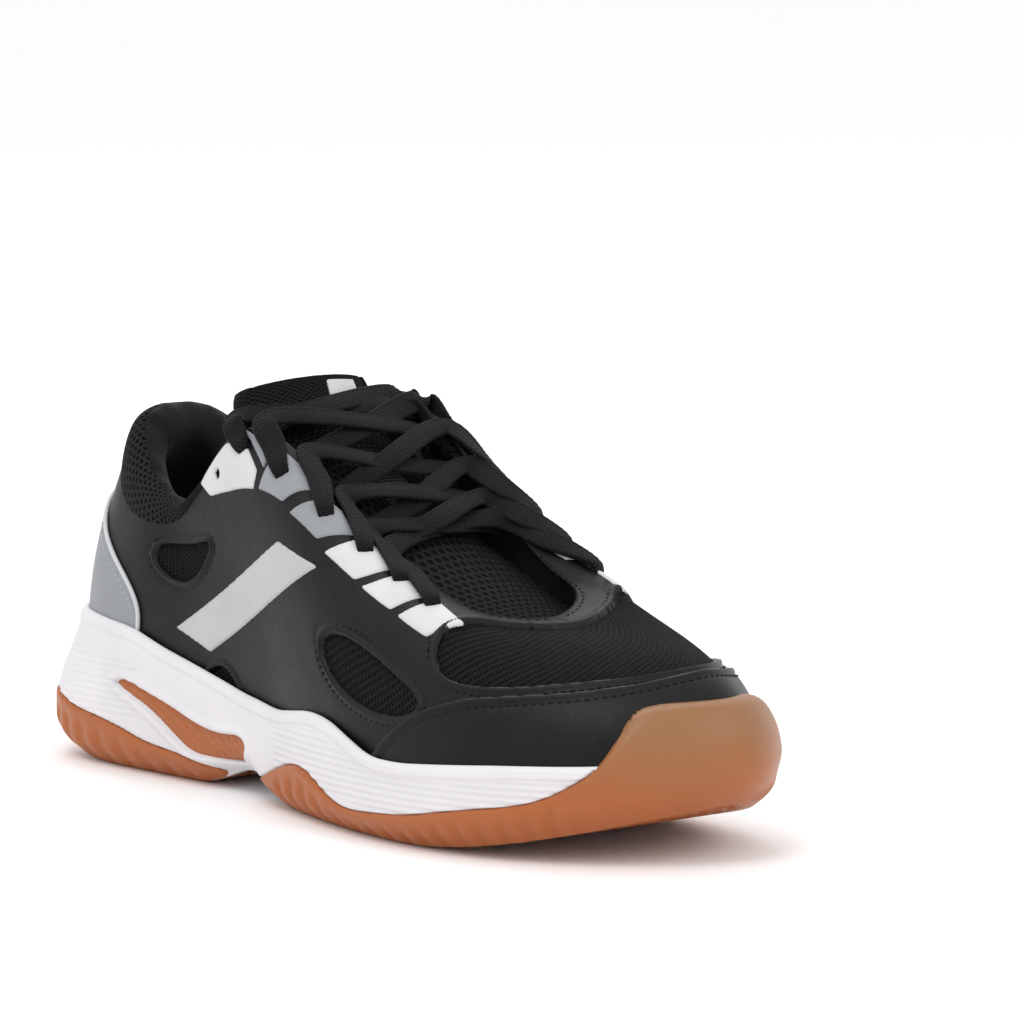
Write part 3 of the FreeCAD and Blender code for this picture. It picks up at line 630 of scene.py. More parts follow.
# ---------------------------------------------------------------- knit ground of the upper
# A black sandwich mesh lies under the whole upper and shows at the toe, the side windows and the collar.
# It is knitted in rows of small six-sided holes.
def hexagon_height(tree, pitch):
    """Three crossing waves on the piece's own chart: dimples in a honeycomb of that pitch, in centimetres."""
    chart = add(tree, "ShaderNodeTexCoord", {})
    total = None
    for angle in (0, 60, 120):
        turns = 2 * math.pi / (pitch * 0.866)
        way = (math.cos(math.radians(angle)) * turns, math.sin(math.radians(angle)) * turns, 0)
        run = add(tree, "ShaderNodeVectorMath", {0: chart.outputs["UV"], 1: way}, operation="DOT_PRODUCT")
        wave = add(tree, "ShaderNodeMath", {0: run.outputs["Value"]}, operation="COSINE")
        if total is None:
            total = wave
        else:
            total = add(tree, "ShaderNodeMath", {0: total.outputs[0], 1: wave.outputs[0]}, operation="ADD")
    span = {"Value": total.outputs[0], "From Min": -0.9, "From Max": 1.6, "To Min": 1.0, "To Max": 0.0}
    holes = add(tree, "ShaderNodeMapRange", span, interpolation_type="SMOOTHSTEP")
    return holes


def knit(name, colour, thread, pitch, deep):
    """Knit with honeycomb holes: painted shade darkens the holes, and the thread between them keeps its own colour."""
    made, tree, shader = finish_material(name, colour, 0.88, Sheen_Weight=0.02, Sheen_Roughness=0.5,
                                         Specular_IOR_Level=0.08)
    holes = hexagon_height(tree, pitch)
    # painted shade: the honeycomb holes take the darker colour, as if in shadow, and the thread takes its own colour
    shade_between(tree, shader, holes.outputs["Result"], colour, thread, 0.25, 0.85)
    coarse = raise_by(tree, shader, holes.outputs["Result"], deep, 1.0)
    fine = grain(tree, 3500, 2)
    raise_by(tree, shader, fine.outputs["Fac"], 0.0001, 0.6, coarse)
    return made


# the first colour is painted shade for the holes, the second the thread's own colour
toe_knit = knit("toe_knit", (0.001, 0.001, 0.0011), (0.010, 0.010, 0.011), 0.20, 0.0007)
CHART = (330.0, 95.0)


def level(height):
    """A profile that stands at one height everywhere."""
    def profile(d, a, b):
        return height + 0.0 * a
    return profile


ground = piece_on("knit_ground", shoe_at, None, [], (0.0, 2.0, 0.0, 0.985), (0.0045, 0.016), level(0.0), -1.1, CHART)
ground.data.materials.append(toe_knit)
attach(ground, "root")
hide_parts("vamp_mesh", "quarter_mesh_outer", "quarter_mesh_inner")

# ---------------------------------------------------------------- leather quarters
# Two black leather panels, one each side, are stitched over the knit. Their windows have a folded, padded
# edge and a stitched line round them; the top edge drops below the collar's knit at the heel.
def side_of(w):
    return np.minimum(np.mod(w, 2), 2 - np.mod(w, 2))


def leather_top(w):
    """Upper edge of the leather: low at the heel, up to the top line from the ankle forward."""
    return 0.75 + 0.235 * ease((side_of(w) - 0.15) / 0.17)


def leather(name, colour, light, rough):
    """Coated leather: fine cells of grain, a faint unevenness and a satin skin."""
    made, tree, shader = finish_material(name, colour, rough, Specular_IOR_Level=0.2)
    place = add(tree, "ShaderNodeTexCoord", {})
    cells = add(tree, "ShaderNodeTexVoronoi", {"Vector": place.outputs["Object"], "Scale": 1300},
                feature="DISTANCE_TO_EDGE")
    crease = add(tree, "ShaderNodeMapRange", {"Value": cells.outputs["Distance"], "From Max": 0.12})
    broad = grain(tree, 60, 4)
    shade_between(tree, shader, broad.outputs["Fac"], colour, light)
    shade_between(tree, shader, broad.outputs["Fac"], (rough - 0.05,) * 3, (rough + 0.08,) * 3, 0.3, 0.7, "Roughness")
    first = raise_by(tree, shader, crease.outputs["Result"], 0.00006, 0.45)
    raise_by(tree, shader, grain(tree, 220, 3).outputs["Fac"], 0.0003, 0.35, first)
    return made


black_leather = leather("black_leather", (0.0030, 0.0030, 0.0033), (0.0055, 0.0055, 0.0060), 0.36)
REAR_WINDOW = [(0.208, 0.581), (0.225, 0.735), (0.337, 0.709), (0.309, 0.625), (0.251, 0.505)]
LOW_WINDOW = [(0.268, 0.03), (0.303, 0.204), (0.348, 0.06)]
FORE_WINDOW = [(0.515, 0.28), (0.556, 0.36), (0.615, 0.378), (0.683, 0.289), (0.64, 0.218), (0.555, 0.2)]
TOE_HALF = [(1.0, 0.44), (0.894, 0.445), (0.769, 0.362), (0.70, 0.385), (0.75, 0.60), (0.87, 0.82), (1.0, 0.90)]
TOE_WINDOW = TOE_HALF + [(2 - w, t) for w, t in TOE_HALF[-2:0:-1]]
SPARE_HOLE = [(0.393 + 0.0062 * math.cos(k), 0.904 + 0.021 * math.sin(k)) for k in np.arange(12) * math.pi / 6]
rear_line, low_line, fore_line, toe_line = [
    rounded_line(rows, 3) for rows in (REAR_WINDOW, LOW_WINDOW, FORE_WINDOW, TOE_WINDOW)]
spare_line = np.array(SPARE_HOLE)


def on_side(line, side):
    """A line of the outer side, or the same line on the inner side, run the other way."""
    return line if side == "outer" else np.stack([2 - line[::-1, 0], line[::-1, 1]], -1)


def leather_profile(lines):
    """Height of a leather panel: its sheet with a rolled cut, and a fat folded edge round each of lines."""
    def profile(d, w, t):
        flat = np.stack([w, t], -1) * CHART
        folded = np.full(len(flat), 1e9)
        for line in lines:
            folded = np.minimum(folded, segment_distance(flat, line * CHART)[0])
        roll = 0.75 * np.exp(-((folded - 1.5) / 0.95) ** 2)
        valley = -0.35 * np.exp(-((folded - 3.4) / 0.6) ** 2)
        return rolled(d, 1.2, 1.0) + roll + valley
    return profile


for side in ("outer", "inner"):
    span = (0.0, 1.0, 0.0, 0.99) if side == "outer" else (1.0, 2.0, 0.0, 0.99)
    w = np.linspace(span[0], span[1], 260)
    area = np.concatenate([np.stack([w, leather_top(w)], -1), np.stack([w[::-1], 0 * w - 0.02], -1)])
    area[:260, 0][[0, -1]] += [-0.01, 0.01]
    area[260:, 0][[0, -1]] += [0.01, -0.01]
    windows = [on_side(rear_line, side), on_side(low_line, side), on_side(fore_line, side), toe_line,
               on_side(spare_line, side)]
    panel = piece_on("leather_quarter_" + side + "_skin", shoe_at, area, windows, span, (0.0031, 0.0112),
                     leather_profile(windows[:4]), -0.2, CHART)
    panel.data.materials.append(black_leather)
    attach(panel, "root")
    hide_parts("leather_quarter_" + side)

# ---------------------------------------------------------------- toe cap
# A leather mudguard is folded along its rear edge, wrapped round the toe over the knit and the panels, and
# stitched down; its lower edge goes into the sole.
CAP_EDGE = [(0.0, 0.40), (0.1, 0.385), (0.184, 0.351), (0.265, 0.317), (0.325, 0.264), (0.37, 0.19), (0.41, 0.075),
            (0.43, 0.0)]


def cap_edge(w):
    """Rear edge of the toe cap, the same on both sides."""
    places, heights = np.array(CAP_EDGE).T
    shifts = np.linspace(-0.02, 0.02, 9)
    return np.interp(np.abs(np.asarray(w)[..., None] - 1 + shifts), places, heights).mean(-1)


def cap_profile(d, w, t):
    """A folded edge: a fat roll at the cut, a stitched valley behind it, then the plain sheet."""
    below = (t < cap_edge(w) - 0.002)
    fold = 0.5 * np.exp(-((d - 1.5) / 1.1) ** 2) - 0.35 * np.exp(-((d - 3.6) / 0.6) ** 2)
    return 1.1 + rolled(d, 1.35, 1.3) + fold * below


w = np.linspace(0.575, 1.425, 260)
cap_area = np.concatenate([np.stack([w, cap_edge(w)], -1), np.stack([w[::-1], 0 * w - 0.02], -1)])
toe_cap = piece_on("toe_cap_skin", shoe_at, cap_area, [], (0.575, 1.425, 0.0, 0.42), (0.0031, 0.0105),
                   cap_profile, 0.9, CHART)
toe_cap.data.materials.append(black_leather)
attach(toe_cap, "root")
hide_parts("toe_cap")

# ---------------------------------------------------------------- heel patch
# A grey coated patch is wrapped round the heel above the sole and sewn down along a pale piped edge.
grey_leather = leather("grey_leather", (0.245, 0.255, 0.275), (0.285, 0.295, 0.315), 0.45)
HEEL_EDGE = [(0.0, 0.60), (0.08, 0.555), (0.13, 0.506), (0.17, 0.44), (0.192, 0.36), (0.201, 0.26), (0.195, 0.1)]
half_line = rounded_line(HEEL_EDGE, 3, closed=False)
patch_line = np.concatenate([np.stack([-half_line[::-1, 0], half_line[::-1, 1]], -1), half_line])
patch_area = np.concatenate([patch_line[:, :], [(0.19, 0.02), (-0.19, 0.02)]])


def patch_profile(d, w, t):
    """A rolled cut with a shallow stitched valley behind it."""
    return 1.15 + rolled(d, 1.1, 0.9) - 0.3 * np.exp(-((d - 3.2) / 0.6) ** 2)


heel_patch = piece_on("heel_patch_skin", shoe_at, patch_area, [], (-0.21, 0.21, 0.02, 0.62), (0.003, 0.0105),
                      patch_profile, 1.0, CHART)
heel_patch.data.materials.append(grey_leather)
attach(heel_patch, "root")
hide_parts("heel_patch")


def tube_points(line, radius, sides=8, closed=False):
    """Points of a tube round a line of points: a circle square to the line at each, in rows."""
    line = np.asarray(line, float)
    if closed:
        way = np.roll(line, -1, 0) - np.roll(line, 1, 0)
    else:
        way = np.gradient(line, axis=0)
    way /= np.linalg.norm(way, axis=1, keepdims=True)
    first = np.cross(way, [0.12, 0.2, 0.97])
    first /= np.linalg.norm(first, axis=1, keepdims=True)
    second = np.cross(way, first)
    turn = np.arange(sides) * 2 * np.pi / sides
    size = np.broadcast_to(np.asarray(radius, float), (len(line),))[:, None, None]
    ring_points = np.cos(turn)[None, :, None] * first[:, None] + np.sin(turn)[None, :, None] * second[:, None]
    return line[:, None] + ring_points * size


def tube(name, line, radius, sides=8):
    """A closed tube with rounded-in ends along a line of points."""
    line = np.asarray(line, float)
    radius = np.broadcast_to(np.asarray(radius, float), (len(line),)).copy()
    radius[[0, -1]] *= 0.05
    rows = tube_points(line, radius, sides)
    n = len(line)
    faces = grid_faces(n, sides, False, True)
    made = mesh_piece(name, rows.reshape(-1, 3), faces)
    return turned_out(made)


pale_edge, tree, shader = finish_material("pale_edge", (0.55, 0.56, 0.57), 0.5)
raise_by(tree, shader, grain(tree, 900).outputs["Fac"], 0.00008, 0.5)
piping_line = shoe_at(patch_line[:, 0], patch_line[:, 1], 1.9)
piping = tube("heel_patch_piping", piping_line, 0.75, 10)
piping.data.materials.append(pale_edge)
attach(piping, "root")

# ---------------------------------------------------------------- eyestay pads and side band
# Thin films are heat-pressed on the leather: light and grey pads between the lace rows, and one plain broad
# band on each side.
light_film, tree, shader = finish_material("light_film", (0.62, 0.625, 0.63), 0.48, Specular_IOR_Level=0.4)
shade_between(tree, shader, grain(tree, 70, 4).outputs["Fac"], (0.54, 0.55, 0.555), (0.61, 0.615, 0.62))
raise_by(tree, shader, grain(tree, 1100).outputs["Fac"], 0.00006, 0.5)
band_film, tree, shader = finish_material("band_film", (0.47, 0.475, 0.48), 0.45, Specular_IOR_Level=0.4)
shade_between(tree, shader, grain(tree, 70, 4).outputs["Fac"], (0.42, 0.425, 0.43), (0.47, 0.475, 0.48))
raise_by(tree, shader, grain(tree, 1100).outputs["Fac"], 0.00006, 0.5)
LIGHT_PADS = [
    [(0.345, 0.97), (0.362, 0.86), (0.405, 0.795), (0.456, 0.736), (0.474, 0.80), (0.468, 0.926), (0.43, 0.97)],
    [(0.560, 0.590), (0.607, 0.580), (0.700, 0.77), (0.759, 0.93), (0.725, 0.95), (0.645, 0.80)],
    [(0.616, 0.575), (0.664, 0.562), (0.745, 0.72), (0.786, 0.85), (0.772, 0.90), (0.70, 0.745)],
    [(0.673, 0.553), (0.712, 0.515), (0.786, 0.655), (0.768, 0.745)],
]
GREY_PADS = [
    [(0.43, 0.975), (0.478, 0.93), (0.488, 0.80), (0.515, 0.885), (0.475, 0.975)],
    [(0.465, 0.73), (0.505, 0.685), (0.575, 0.83), (0.565, 0.90), (0.53, 0.91)],
    [(0.512, 0.655), (0.553, 0.618), (0.635, 0.79), (0.62, 0.86), (0.595, 0.84)],
]


def corner_line(points):
    """A closed line with small round corners: each corner is held by two points close to it, then cut."""
    points = np.asarray(points, float)
    before = np.roll(points, 1, 0)
    after = np.roll(points, -1, 0)
    held = np.stack([points * 0.86 + before * 0.14, points, points * 0.86 + after * 0.14], 1).reshape(-1, 2)
    return rounded_line(held, 3)


def film(d, w, t):
    """Raised moulded film: a bevelled edge and a slightly crowned face."""
    return 1.0 + rolled(d, 0.75, 0.9) + 0.25 * ease(d / 4)


def seen(x, z, inner):
    """Places (w, t) of the upper's face that a side view shows at x and z, by Newton's steps."""
    w = np.full(len(x), 1.6 if inner else 0.4)
    t = np.full(len(x), 0.4)
    step = 0.001
    for _ in range(12):
        here, on, up = upper_at(w, t), upper_at(w + step, t), upper_at(w, t + step)
        xw, zw = ((on - here)[:, [0, 2]] / step).T
        xt, zt = ((up - here)[:, [0, 2]] / step).T
        spread = xw * zt - xt * zw
        miss_x, miss_z = x - here[:, 0], z - here[:, 2]
        w = w + (miss_x * zt - miss_z * xt) / spread
        t = t + (miss_z * xw - miss_x * zw) / spread
    return np.stack([w, t], -1)


BAND = np.array([(73.0, 48.0), (92.0, 42.5), (152.0, 76.5), (129.0, 82.0)])
band_outline = corner_line(np.concatenate([BAND[k] + (BAND[(k + 1) % 4] - BAND[k]) * np.linspace(0, 1, 9)[:-1, None]
                                           for k in range(4)]))
for side in ("outer", "inner"):
    groups = [("eyestay_light_", LIGHT_PADS, light_film, "light_trim"),
              ("eyestay_grey_", GREY_PADS, grey_leather, "grey_leather")]
    for name, pads, look, slot in groups:
        for k, pad in enumerate(pads):
            line = on_side(corner_line(pad), side)
            low, high = line.min(0), line.max(0)
            holes = [on_side(spare_line, side)] if name == "eyestay_light_" and k == 0 else []
            piece = piece_on(name + side + "_%d" % (k + 1), shoe_at, line, holes, (low[0], high[0], low[1], high[1]),
                             (0.0017, 0.006), film, 0.8, CHART)
            piece.data.materials.append(look)
            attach(piece, "root")
            if k == 0:
                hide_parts(name + side)
    line = seen(band_outline[:, 0], band_outline[:, 1], side == "inner")
    low, high = line.min(0), line.max(0)
    piece = piece_on("side_band_" + side + "_film", shoe_at, line, [], (low[0], high[0], low[1], high[1]),
                     (0.0026, 0.009), film, 0.8, CHART)
    piece.data.materials.append(band_film)
    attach(piece, "root")
    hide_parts("side_band_" + side)

# ---------------------------------------------------------------- stitching
# Bonded black thread holds the cap, the patch and the window edges: short raised stitches, one after another.
thread_look, tree, shader = finish_material("black_thread", (0.006, 0.006, 0.0065), 0.55, Specular_IOR_Level=0.2)
raise_by(tree, shader, grain(tree, 2500).outputs["Fac"], 0.0001, 0.6)
grey_thread, tree, shader = finish_material("grey_thread", (0.36, 0.37, 0.385), 0.55, Sheen_Weight=0.2)
raise_by(tree, shader, grain(tree, 2500).outputs["Fac"], 0.0001, 0.6)


def stitch_row(name, line, inward, height, look, pitch=2.7, length=2.05, thick=0.36, closed=True):
    """Stitches along a chart line, moved inward across the surface: each a small capsule lying on it."""
    if closed:
        line = np.concatenate([line, line[:1]])
    base = shoe_at(line[:, 0], line[:, 1], height)
    normal = upper_normal(line[:, 0], line[:, 1])
    way = np.gradient(base, axis=0)
    way /= np.linalg.norm(way, axis=1, keepdims=True)
    base = base + np.cross(normal, way) * inward
    run = np.concatenate([[0], np.cumsum(np.linalg.norm(np.diff(base, axis=0), axis=1))])
    count = int(run[-1] / pitch)
    spots = (np.arange(count) + 0.5) * run[-1] / count
    stations = spots[:, None] + np.linspace(-0.5, 0.5, 5) * length
    spine = np.stack([np.interp(stations, run, base[:, k]) for k in range(3)], -1)
    up = np.stack([np.interp(spots, run, normal[:, k]) for k in range(3)], -1)[:, None]
    along = spine[:, -1:] - spine[:, :1]
    along = along / np.linalg.norm(along, axis=-1, keepdims=True)
    side = np.cross(along, up)
    fat = np.array([0.35, 0.9, 1.0, 0.9, 0.35]) * thick
    sink = np.array([-0.35, -0.05, 0.05, -0.05, -0.35])
    spine = spine + up * sink[None, :, None]
    turn = np.arange(6) * np.pi / 3
    points = spine[:, :, None] + fat[None, :, None, None] * (
        np.cos(turn)[None, None, :, None] * side[:, :, None] + np.sin(turn)[None, None, :, None] * up[:, :, None])
    one = grid_faces(5, 6, False, True)
    caps = np.array([(0, 1, 2, 3), (0, 3, 4, 5), (27, 26, 25, 24), (29, 28, 27, 24)])
    one = np.concatenate([one, caps])
    faces = (one[None] + (np.arange(count) * 30)[:, None, None]).reshape(-1, 4)
    made = mesh_piece(name, points.reshape(-1, 3), faces)
    turned_out(made)
    made.data.materials.append(look)
    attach(made, "root")
    return made


w = np.linspace(0.60, 1.40, 300)
cap_top = np.stack([w, cap_edge(w)], -1)
stitch_row("cap_stitches", cap_top, -3.6, 2.2, thread_look, closed=False)
stitch_row("patch_stitches", patch_line[8:-8], -3.2, 2.0, grey_thread, closed=False)
for side in ("outer", "inner"):
    for name, line in (("rear", rear_line), ("fore", fore_line)):
        stitch_row(name + "_window_stitches_" + side, on_side(line, side), 3.4, 1.0, thread_look)
stitch_row("toe_window_stitches", toe_line[::-1], -3.4, 1.0, thread_look)
for side in ("outer", "inner"):
    w = np.linspace(0.80, 0.99, 60) if side == "outer" else np.linspace(1.01, 1.20, 60)
    stitch_row("throat_stitches_" + side, np.stack([w, 0 * w + 0.955], -1), 0.0, 1.25, thread_look,
               closed=False)

# ---------------------------------------------------------------- collar
# The collar is foam wrapped in knit: the honeycomb mesh outside, brushed lining over the top and inside. It is
# thickest at the heel and thins out towards the lace rows.
def puffed_roll(w, s):
    """A padded roll round the opening: a cubic B-spline across through ten rings of control points.

    The rings climb the outside from the leather's top edge, pass over the top line and go down inside."""
    fat = ease((0.47 - np.abs(w)) / 0.20)
    heel = ease((0.16 - np.abs(w)) / 0.12)
    low = leather_top(w) - 0.06
    top = shoe_at(w, 0.985)
    up = shoe_at(w, 0.985) - shoe_at(w, 0.93)
    up = up / np.linalg.norm(up, axis=-1, keepdims=True)
    out = upper_normal(w, 0.97)

    def at(t, offset):
        return shoe_at(w, t, offset)

    crest = top + up * (0.8 + 1.6 * fat)[..., None] + out * (-0.6 - 2.6 * fat)[..., None]
    rings = [at(low, 0.2 + 0 * w), at(low + (0.985 - low) * 0.3, 0.5 + 1.6 * fat),
             at(low + (0.985 - low) * 0.7, 0.7 + 2.2 * fat),
             at(0.97 + 0 * w, 0.7 + 1.2 * fat), crest, at(0.965 + 0 * w, -2.6 - 6.6 * fat - heel),
             at(0.88 + 0 * w, -2.8 - 8.0 * fat - heel), at(0.78 + 0 * w, -2.8 - 6.6 * fat),
             at(0.66 + 0 * w, -2.8 - 2.4 * fat), at(0.52 + 0 * w, -2.7 + 0 * w)]
    rings = np.stack([rings[0]] + rings + [rings[-1]])
    reach = s * (len(rings) - 3)
    k = np.clip(reach.astype(int), 0, len(rings) - 4)
    f = (reach - k)[..., None]
    pick = np.arange(len(w))
    return cubic_spline(f, *(rings[k + n, pick] for n in range(4)))


def collar_surface(w, s, offset):
    """The padded roll with its small lengthwise quilting, thickened across by offset."""
    step = 0.004
    base = puffed_roll(w, s)
    along = puffed_roll(w + step, s) - puffed_roll(w - step, s)
    over = puffed_roll(w, np.clip(s + step, 0, 1)) - puffed_roll(w, np.clip(s - step, 0, 1))
    normal = np.cross(along, over)
    normal /= np.maximum(np.linalg.norm(normal, axis=-1, keepdims=True), 1e-9)
    return base + normal * np.asarray(offset)[..., None]


def wrinkle(d, w, s):
    """Soft puckers along the seam between mesh and lining, and slow lumps in the foam."""
    seam = -0.55 * np.exp(-((s - 0.40) / 0.012) ** 2)
    lumps = 0.16 * np.sin(w * 61 + 3 * np.sin(w * 23)) * np.exp(-((s - 0.52) / 0.14) ** 2)
    pull = 0.22 * np.sin(w * 150 + 2 * np.sin(s * 9)) * np.exp(-((s - 0.43) / 0.05) ** 2)
    return seam + lumps + pull


# the first colour is painted shade for the holes, the second the thread's own colour
collar_knit = knit("collar_knit", (0.002, 0.002, 0.0022), (0.018, 0.018, 0.020), 0.30, 0.0009)
lining_cloth, tree, shader = finish_material("lining_cloth", (0.008, 0.008, 0.009), 0.9, Sheen_Weight=0.10,
                                             Sheen_Roughness=0.4, Specular_IOR_Level=0.2)
shade_between(tree, shader, grain(tree, 120, 4).outputs["Fac"], (0.006, 0.006, 0.0065), (0.011, 0.011, 0.012))
raise_by(tree, shader, grain(tree, 1800, 3).outputs["Fac"], 0.00025, 0.7)
COLLAR_CHART = (330.0, 62.0)
collar = piece_on("collar_roll", collar_surface, None, [], (-0.47, 0.47, 0.0, 1.0), (0.0036, 0.0135), wrinkle,
                  -0.8, COLLAR_CHART)
collar.data.materials.append(collar_knit)
collar.data.materials.append(lining_cloth)
shares = np.empty(len(collar.data.loops) * 2)
collar.data.uv_layers["chart"].data.foreach_get("uv", shares)
first_loop = np.empty(len(collar.data.polygons), np.int32)
collar.data.polygons.foreach_get("loop_start", first_loop)
share = shares.reshape(-1, 2)[first_loop, 1] / (COLLAR_CHART[1] * 0.1)
collar.data.polygons.foreach_set("material_index", (share > 0.395).astype(np.int32))
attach(collar, "root")
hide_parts("collar_padding", "collar_lining")

lining = piece_on("lining_skin", shoe_at, None, [], (0.0, 2.0, 0.02, 0.66), (0.006, 0.02), level(-2.6), -3.4,
                  CHART)
lining.data.materials.append(lining_cloth)
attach(lining, "root")
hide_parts("upper_lining_outer", "upper_lining_inner")

# ---------------------------------------------------------------- sockliner
# The removable footbed: moulded foam under a brushed black top cloth, dished at the heel and raised at the
# arch. It sits on a body of its own.
FOOT_BED = [(-9, 30), (40, 29), (80, 25), (120, 21.6), (160, 17.4), (200, 14.2), (240, 16), (270, 21), (305, 27)]


def footbed(u, v):
    """A dished pad: across each length from the outer to the inner edge, raised at its rim and its arch."""
    xs = 19.5 + 264.5 * u
    w_line = np.linspace(0.03, 0.97, 500)
    wo = np.interp(xs, sole_ring(w_line)[:, 0], w_line)
    wi = np.interp(xs, sole_ring(2 - w_line)[:, 0], w_line)
    inset = 10 + 10 * ease((55 - xs) / 40)
    edge_o = sole_ring(wo) - across(wo) * inset[..., None]
    edge_i = sole_ring(2 - wi) - across(2 - wi) * inset[..., None]
    flat = edge_o * (1 - v)[..., None] + edge_i * v[..., None]
    bed = table(FOOT_BED, xs)
    dish = 3.0 * np.abs(2 * v - 1) ** 3 * ease((150 - xs) / 90)
    arch = 3.5 * ease((v - 0.6) / 0.4) * np.exp(-((xs - 110) / 38) ** 2)
    return real(np.concatenate([flat, (bed + 5.2 + dish + arch)[..., None]], -1))


def footbed_surface(u, v, offset):
    point = footbed(u, v)
    point[..., 2] += offset
    return point


def rounded_rim(d, u, v):
    """The pad's face drops towards its cut."""
    inwards = np.minimum(np.minimum(v, 1 - v) * 16, np.minimum(u, 1 - u) * 60)
    return 0.9 - 1.6 * ease(1 - inwards)


sock = piece_on("sockliner_pad", footbed_surface, None, [], (0.0, 1.0, 0.0, 1.0), (0.0055, 0.02), rounded_rim,
                -2.6, (280.0, 70.0))
sock_cloth, tree, shader = finish_material("sock_cloth", (0.016, 0.016, 0.018), 0.92, Sheen_Weight=0.12)
shade_between(tree, shader, grain(tree, 300, 4).outputs["Fac"], (0.012, 0.012, 0.013), (0.026, 0.026, 0.028))
raise_by(tree, shader, grain(tree, 1500, 3).outputs["Fac"], 0.0003, 0.7)
sock.data.materials.append(sock_cloth)
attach(sock, "insole")
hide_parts("sockliner")

# ---------------------------------------------------------------- tongue
# The tongue is foam between a honeycomb knit and a lining, bound at its edges. It runs under the laces from
# the toe to a broad free tip, and bends at the top lace row.
TONGUE = [(222, 8, 52.0, 25, 4), (210, 7.5, 57, 27, 4.5), (197, 7, 62, 29, 5), (180, 7, 68.5, 29.5, 6),
          (156, 6, 80, 28, 7), (131, 5, 95.5, 26, 6.5), (112, 4.8, 106.8, 24, 6), (103, 5, 112.4, 24.5, 5.5), (97.5, 5.8, 118, 26, 6),
          (94.3, 6.4, 122.6, 27, 6.5), (92.2, 6.8, 126.4, 24.5, 6)]


def smooth_line(rows, share):
    """A curve near a list of points: a cubic B-spline over them, its end points tripled, at shares 0 to 1."""
    rows = np.asarray(rows, float)
    held = np.concatenate([rows[:1], rows[:1], rows, rows[-1:], rows[-1:]])
    reach = np.asarray(share) * (len(held) - 3)
    k = np.clip(reach.astype(int), 0, len(held) - 4)
    f = (reach - k)[..., None]
    return cubic_spline(f, *(held[k + n] for n in range(4)))


def tongue_at(a, side, height):
    """A point of the tongue at a share of its length, across by side (-1 to 1) and out by a height."""
    row = smooth_line(TONGUE, a)
    ahead = smooth_line(TONGUE, np.clip(a + 0.004, 0, 1)) - smooth_line(TONGUE, np.clip(a - 0.004, 0, 1))
    way = ahead[..., :3] / np.linalg.norm(ahead[..., :3], axis=-1, keepdims=True)
    up = np.stack([way[..., 2], 0 * way[..., 0], -way[..., 0]], -1)
    end = np.sqrt(np.clip(1 - (np.clip((a - 0.955) / 0.045, 0, 1)) ** 2.6, 0.0, 1))
    wide = row[..., 3] * (0.55 + 0.45 * end)
    centre = row[..., :3] + np.stack([0 * wide, side * wide, 0 * wide], -1)
    return real(centre - up * (row[..., 4] * side * side)[..., None]) + up * np.asarray(height)[..., None]


rows_a = np.concatenate([np.linspace(0, 0.95, 190), 0.95 + 0.05 * np.sin(np.linspace(0, math.pi / 2, 24))[1:]])
turns = np.linspace(0, 2 * np.pi, 120, endpoint=False)
A, C = np.meshgrid(rows_a, turns, indexing="ij")
cosine, sine = np.cos(C), np.sin(C)
side = np.sign(cosine) * np.abs(cosine) ** 0.42
fold_dip = 1 - 0.42 * np.exp(-((A - 0.70) / 0.035) ** 2)
close = np.sqrt(np.clip(1 - ((A - 0.95) / 0.0502) ** 2, 0.0, 1)) * (A > 0.95) + (A <= 0.95)
puff = (3.2 * fold_dip + 0.5 * ease((A - 0.8) / 0.1)) * (0.25 + 0.75 * close)
height = -3.0 + np.sign(sine) * np.abs(sine) ** 0.5 * puff
bound = np.exp(-((np.abs(side) - 0.94) / 0.035) ** 2) * 0.5 - np.exp(-((np.abs(side) - 0.86) / 0.018) ** 2) * 0.6
height = height + bound * np.sign(sine) * close
points = tongue_at(A, side, height)
uv = np.stack([A * 19, side * 2.6], -1)
faces = grid_faces(len(rows_a), len(turns), False, True)
m = len(turns)
half_ring = np.arange(m // 2 - 1)
cap = [np.stack([r + half_ring, r + half_ring + 1, r + m - 1 - (half_ring + 1), r + m - 1 - half_ring], -1)
       for r in (0, (len(rows_a) - 1) * m)]
tongue = mesh_piece("tongue_pad", points.reshape(-1, 3), np.concatenate([faces, cap[0], cap[1][:, ::-1]]),
                    uv=uv.reshape(-1, 2))
turned_out(tongue)
# the first colour is painted shade for the holes, the second the thread's own colour
tongue_knit = knit("tongue_knit", (0.001, 0.001, 0.0011), (0.012, 0.012, 0.013), 0.26, 0.0009)
tongue.data.materials.append(tongue_knit)
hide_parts("tongue_lower", "tongue_top")
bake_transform(tongue)


def patch_on_tongue(name, a0, a1, s0, s1, thick, look, body, ribs=0.0):
    """A sewn patch on the tongue's face: a crowned closed sheet between two shares along and across."""
    def surface(a, b, offset):
        return tongue_at(a, b, 0.35 + offset)

    def profile(d, a, b):
        return rolled(d, thick, 0.6) + ribs * np.cos(2 * np.pi * (b - s0) / (s1 - s0) * 7)
    line = corner_line([(a0, s0), (a1, s0), (a1, s1), (a0, s1)])
    made = piece_on(name, surface, line, [], (a0, a1, s0, s1), (0.0028, 0.018), profile, -0.6, (190.0, 26.0))
    made.data.materials.append(look)
    if body:
        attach(made, body)
    else:
        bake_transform(made)
    return made


